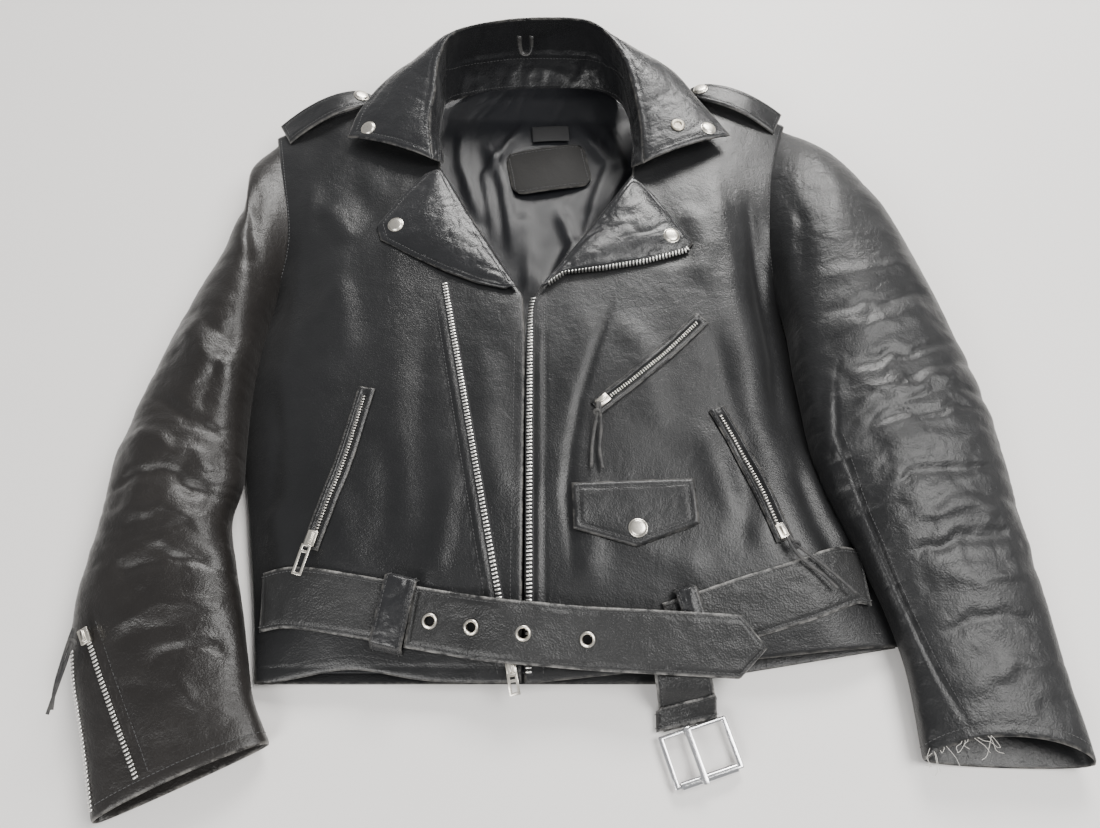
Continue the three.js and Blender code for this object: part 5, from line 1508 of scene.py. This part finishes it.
SEAMS = {
    "jacket": [
        inset_line("right_front_leather", "bottom", HEM_STITCH),
        inset_line("left_front_leather", "bottom", HEM_STITCH),
        inset_line("right_front_leather", "right", FRONT_EDGE_STITCH, 0, 0.5),
        inset_line("right_front_leather", "left", 4, 0.62, 1),
        inset_line("left_front_leather", "left", 4, 0.62, 1),
        inset_line("right_front_leather", "top", 4), inset_line("left_front_leather", "top", 4),
        laid(on_fronts, np.array(RIGHT_CHAIN) + [-CHAIN_STITCH, 0]),
        laid(on_fronts, np.array(LEFT_CHAIN) + [CHAIN_STITCH, 0]),
        *[inset_line("collar_fall_leather", side, COLLAR_STITCH) for side in ("top", "left", "right")],
        inset_line("collar_stand_leather", "bottom", 5),
        inset_line("collar_stand_leather", "bottom", STAND_HEIGHT * STAND_SEAM - 4),
        *all_round("blank_label", 4), *all_round("right_pocket_welt", WELT_STITCH),
        *all_round("left_pocket_welt", WELT_STITCH), *all_round("chest_welt", WELT_STITCH),
        *long_sides("belt_side_leather", BELT_STITCH), *long_sides("belt_left_leather", BELT_STITCH),
        *long_sides("belt_loop_right_leather", LOOP_STITCH),
        *long_sides("belt_loop_left_leather", LOOP_STITCH),
        *long_sides("buckle_strap_leather", BELT_STITCH),
        *long_sides("strap_keeper_leather", LOOP_STITCH)],
    "right_lapel": lapel_sides("right_lapel_leather"),
    "left_lapel": lapel_sides("left_lapel_leather"),
    "pocket_flap": all_round("pocket_flap_leather", FLAP_STITCH),
    "right_epaulette": all_round("right_epaulette_leather", EPAULETTE_STITCH),
    "left_epaulette": all_round("left_epaulette_leather", EPAULETTE_STITCH),
    "belt_tongue": long_sides("belt_tongue_leather", BELT_STITCH),
    "right_sleeve": [laid(on_sleeve, np.array(CUFF_ZIP) + [7, 5]),
                     inset_line("right_sleeve_leather", "top", CUFF_STITCH)],
    "left_sleeve": [laid(ground(sleeve_pieces["left"]), np.array(LEFT_SEAM[2:]) + [3.2, 1]),
                    inset_line("left_sleeve_leather", "top", CUFF_STITCH)]}
for body, lines in SEAMS.items():
    spots = [spots_along(line, STITCH_PITCH, -0.12) for line in lines]
    row = repeat(f"stitches_{body}", spots, STITCH, thread, 0.12, 5)
    belongs(row, body)

FRAY = Paint("frayed_thread")
fluff = FRAY.texture("ShaderNodeTexNoise", 900, Detail=3).outputs["Fac"]
FRAY.set(Roughness=0.9)
white_thread = FRAY.plug(Base_Color=FRAY.mix(fluff, (0.45, 0.43, 0.4), (0.7, 0.68, 0.64)))
dice = np.random.default_rng(4)
cuff_line = inset_line("left_sleeve_leather", "top", 1.5, 0.3, 0.5)[0]
strands = []
for i in range(15):
    at = cuff_line[dice.integers(len(cuff_line))] + [0, 0, 0.4]
    out = np.array([dice.normal(0, 5), -abs(dice.normal(6, 3)), 0])
    path = [at, at + out * 0.4 + [0, 0, 1.2], at + out + dice.normal(0, 1, 3) * [1, 1, 0.3],
            at + out * 1.5 + dice.normal(0, 2, 3) * [1, 1, 0.2]]
    strands.append(sweep(f"strand_{i}", path, oval(0.35, 0.35, 5), white_thread, step=0.8))
with bpy.context.temp_override(active_object=strands[0], selected_editable_objects=strands):
    bpy.ops.object.join()
strands[0].name = "frayed_threads"
belongs(strands[0], "left_sleeve")
for shape in (TOOTH, FINE_TOOTH, CUFF_TOOTH, STITCH):
    bpy.data.objects.remove(shape)
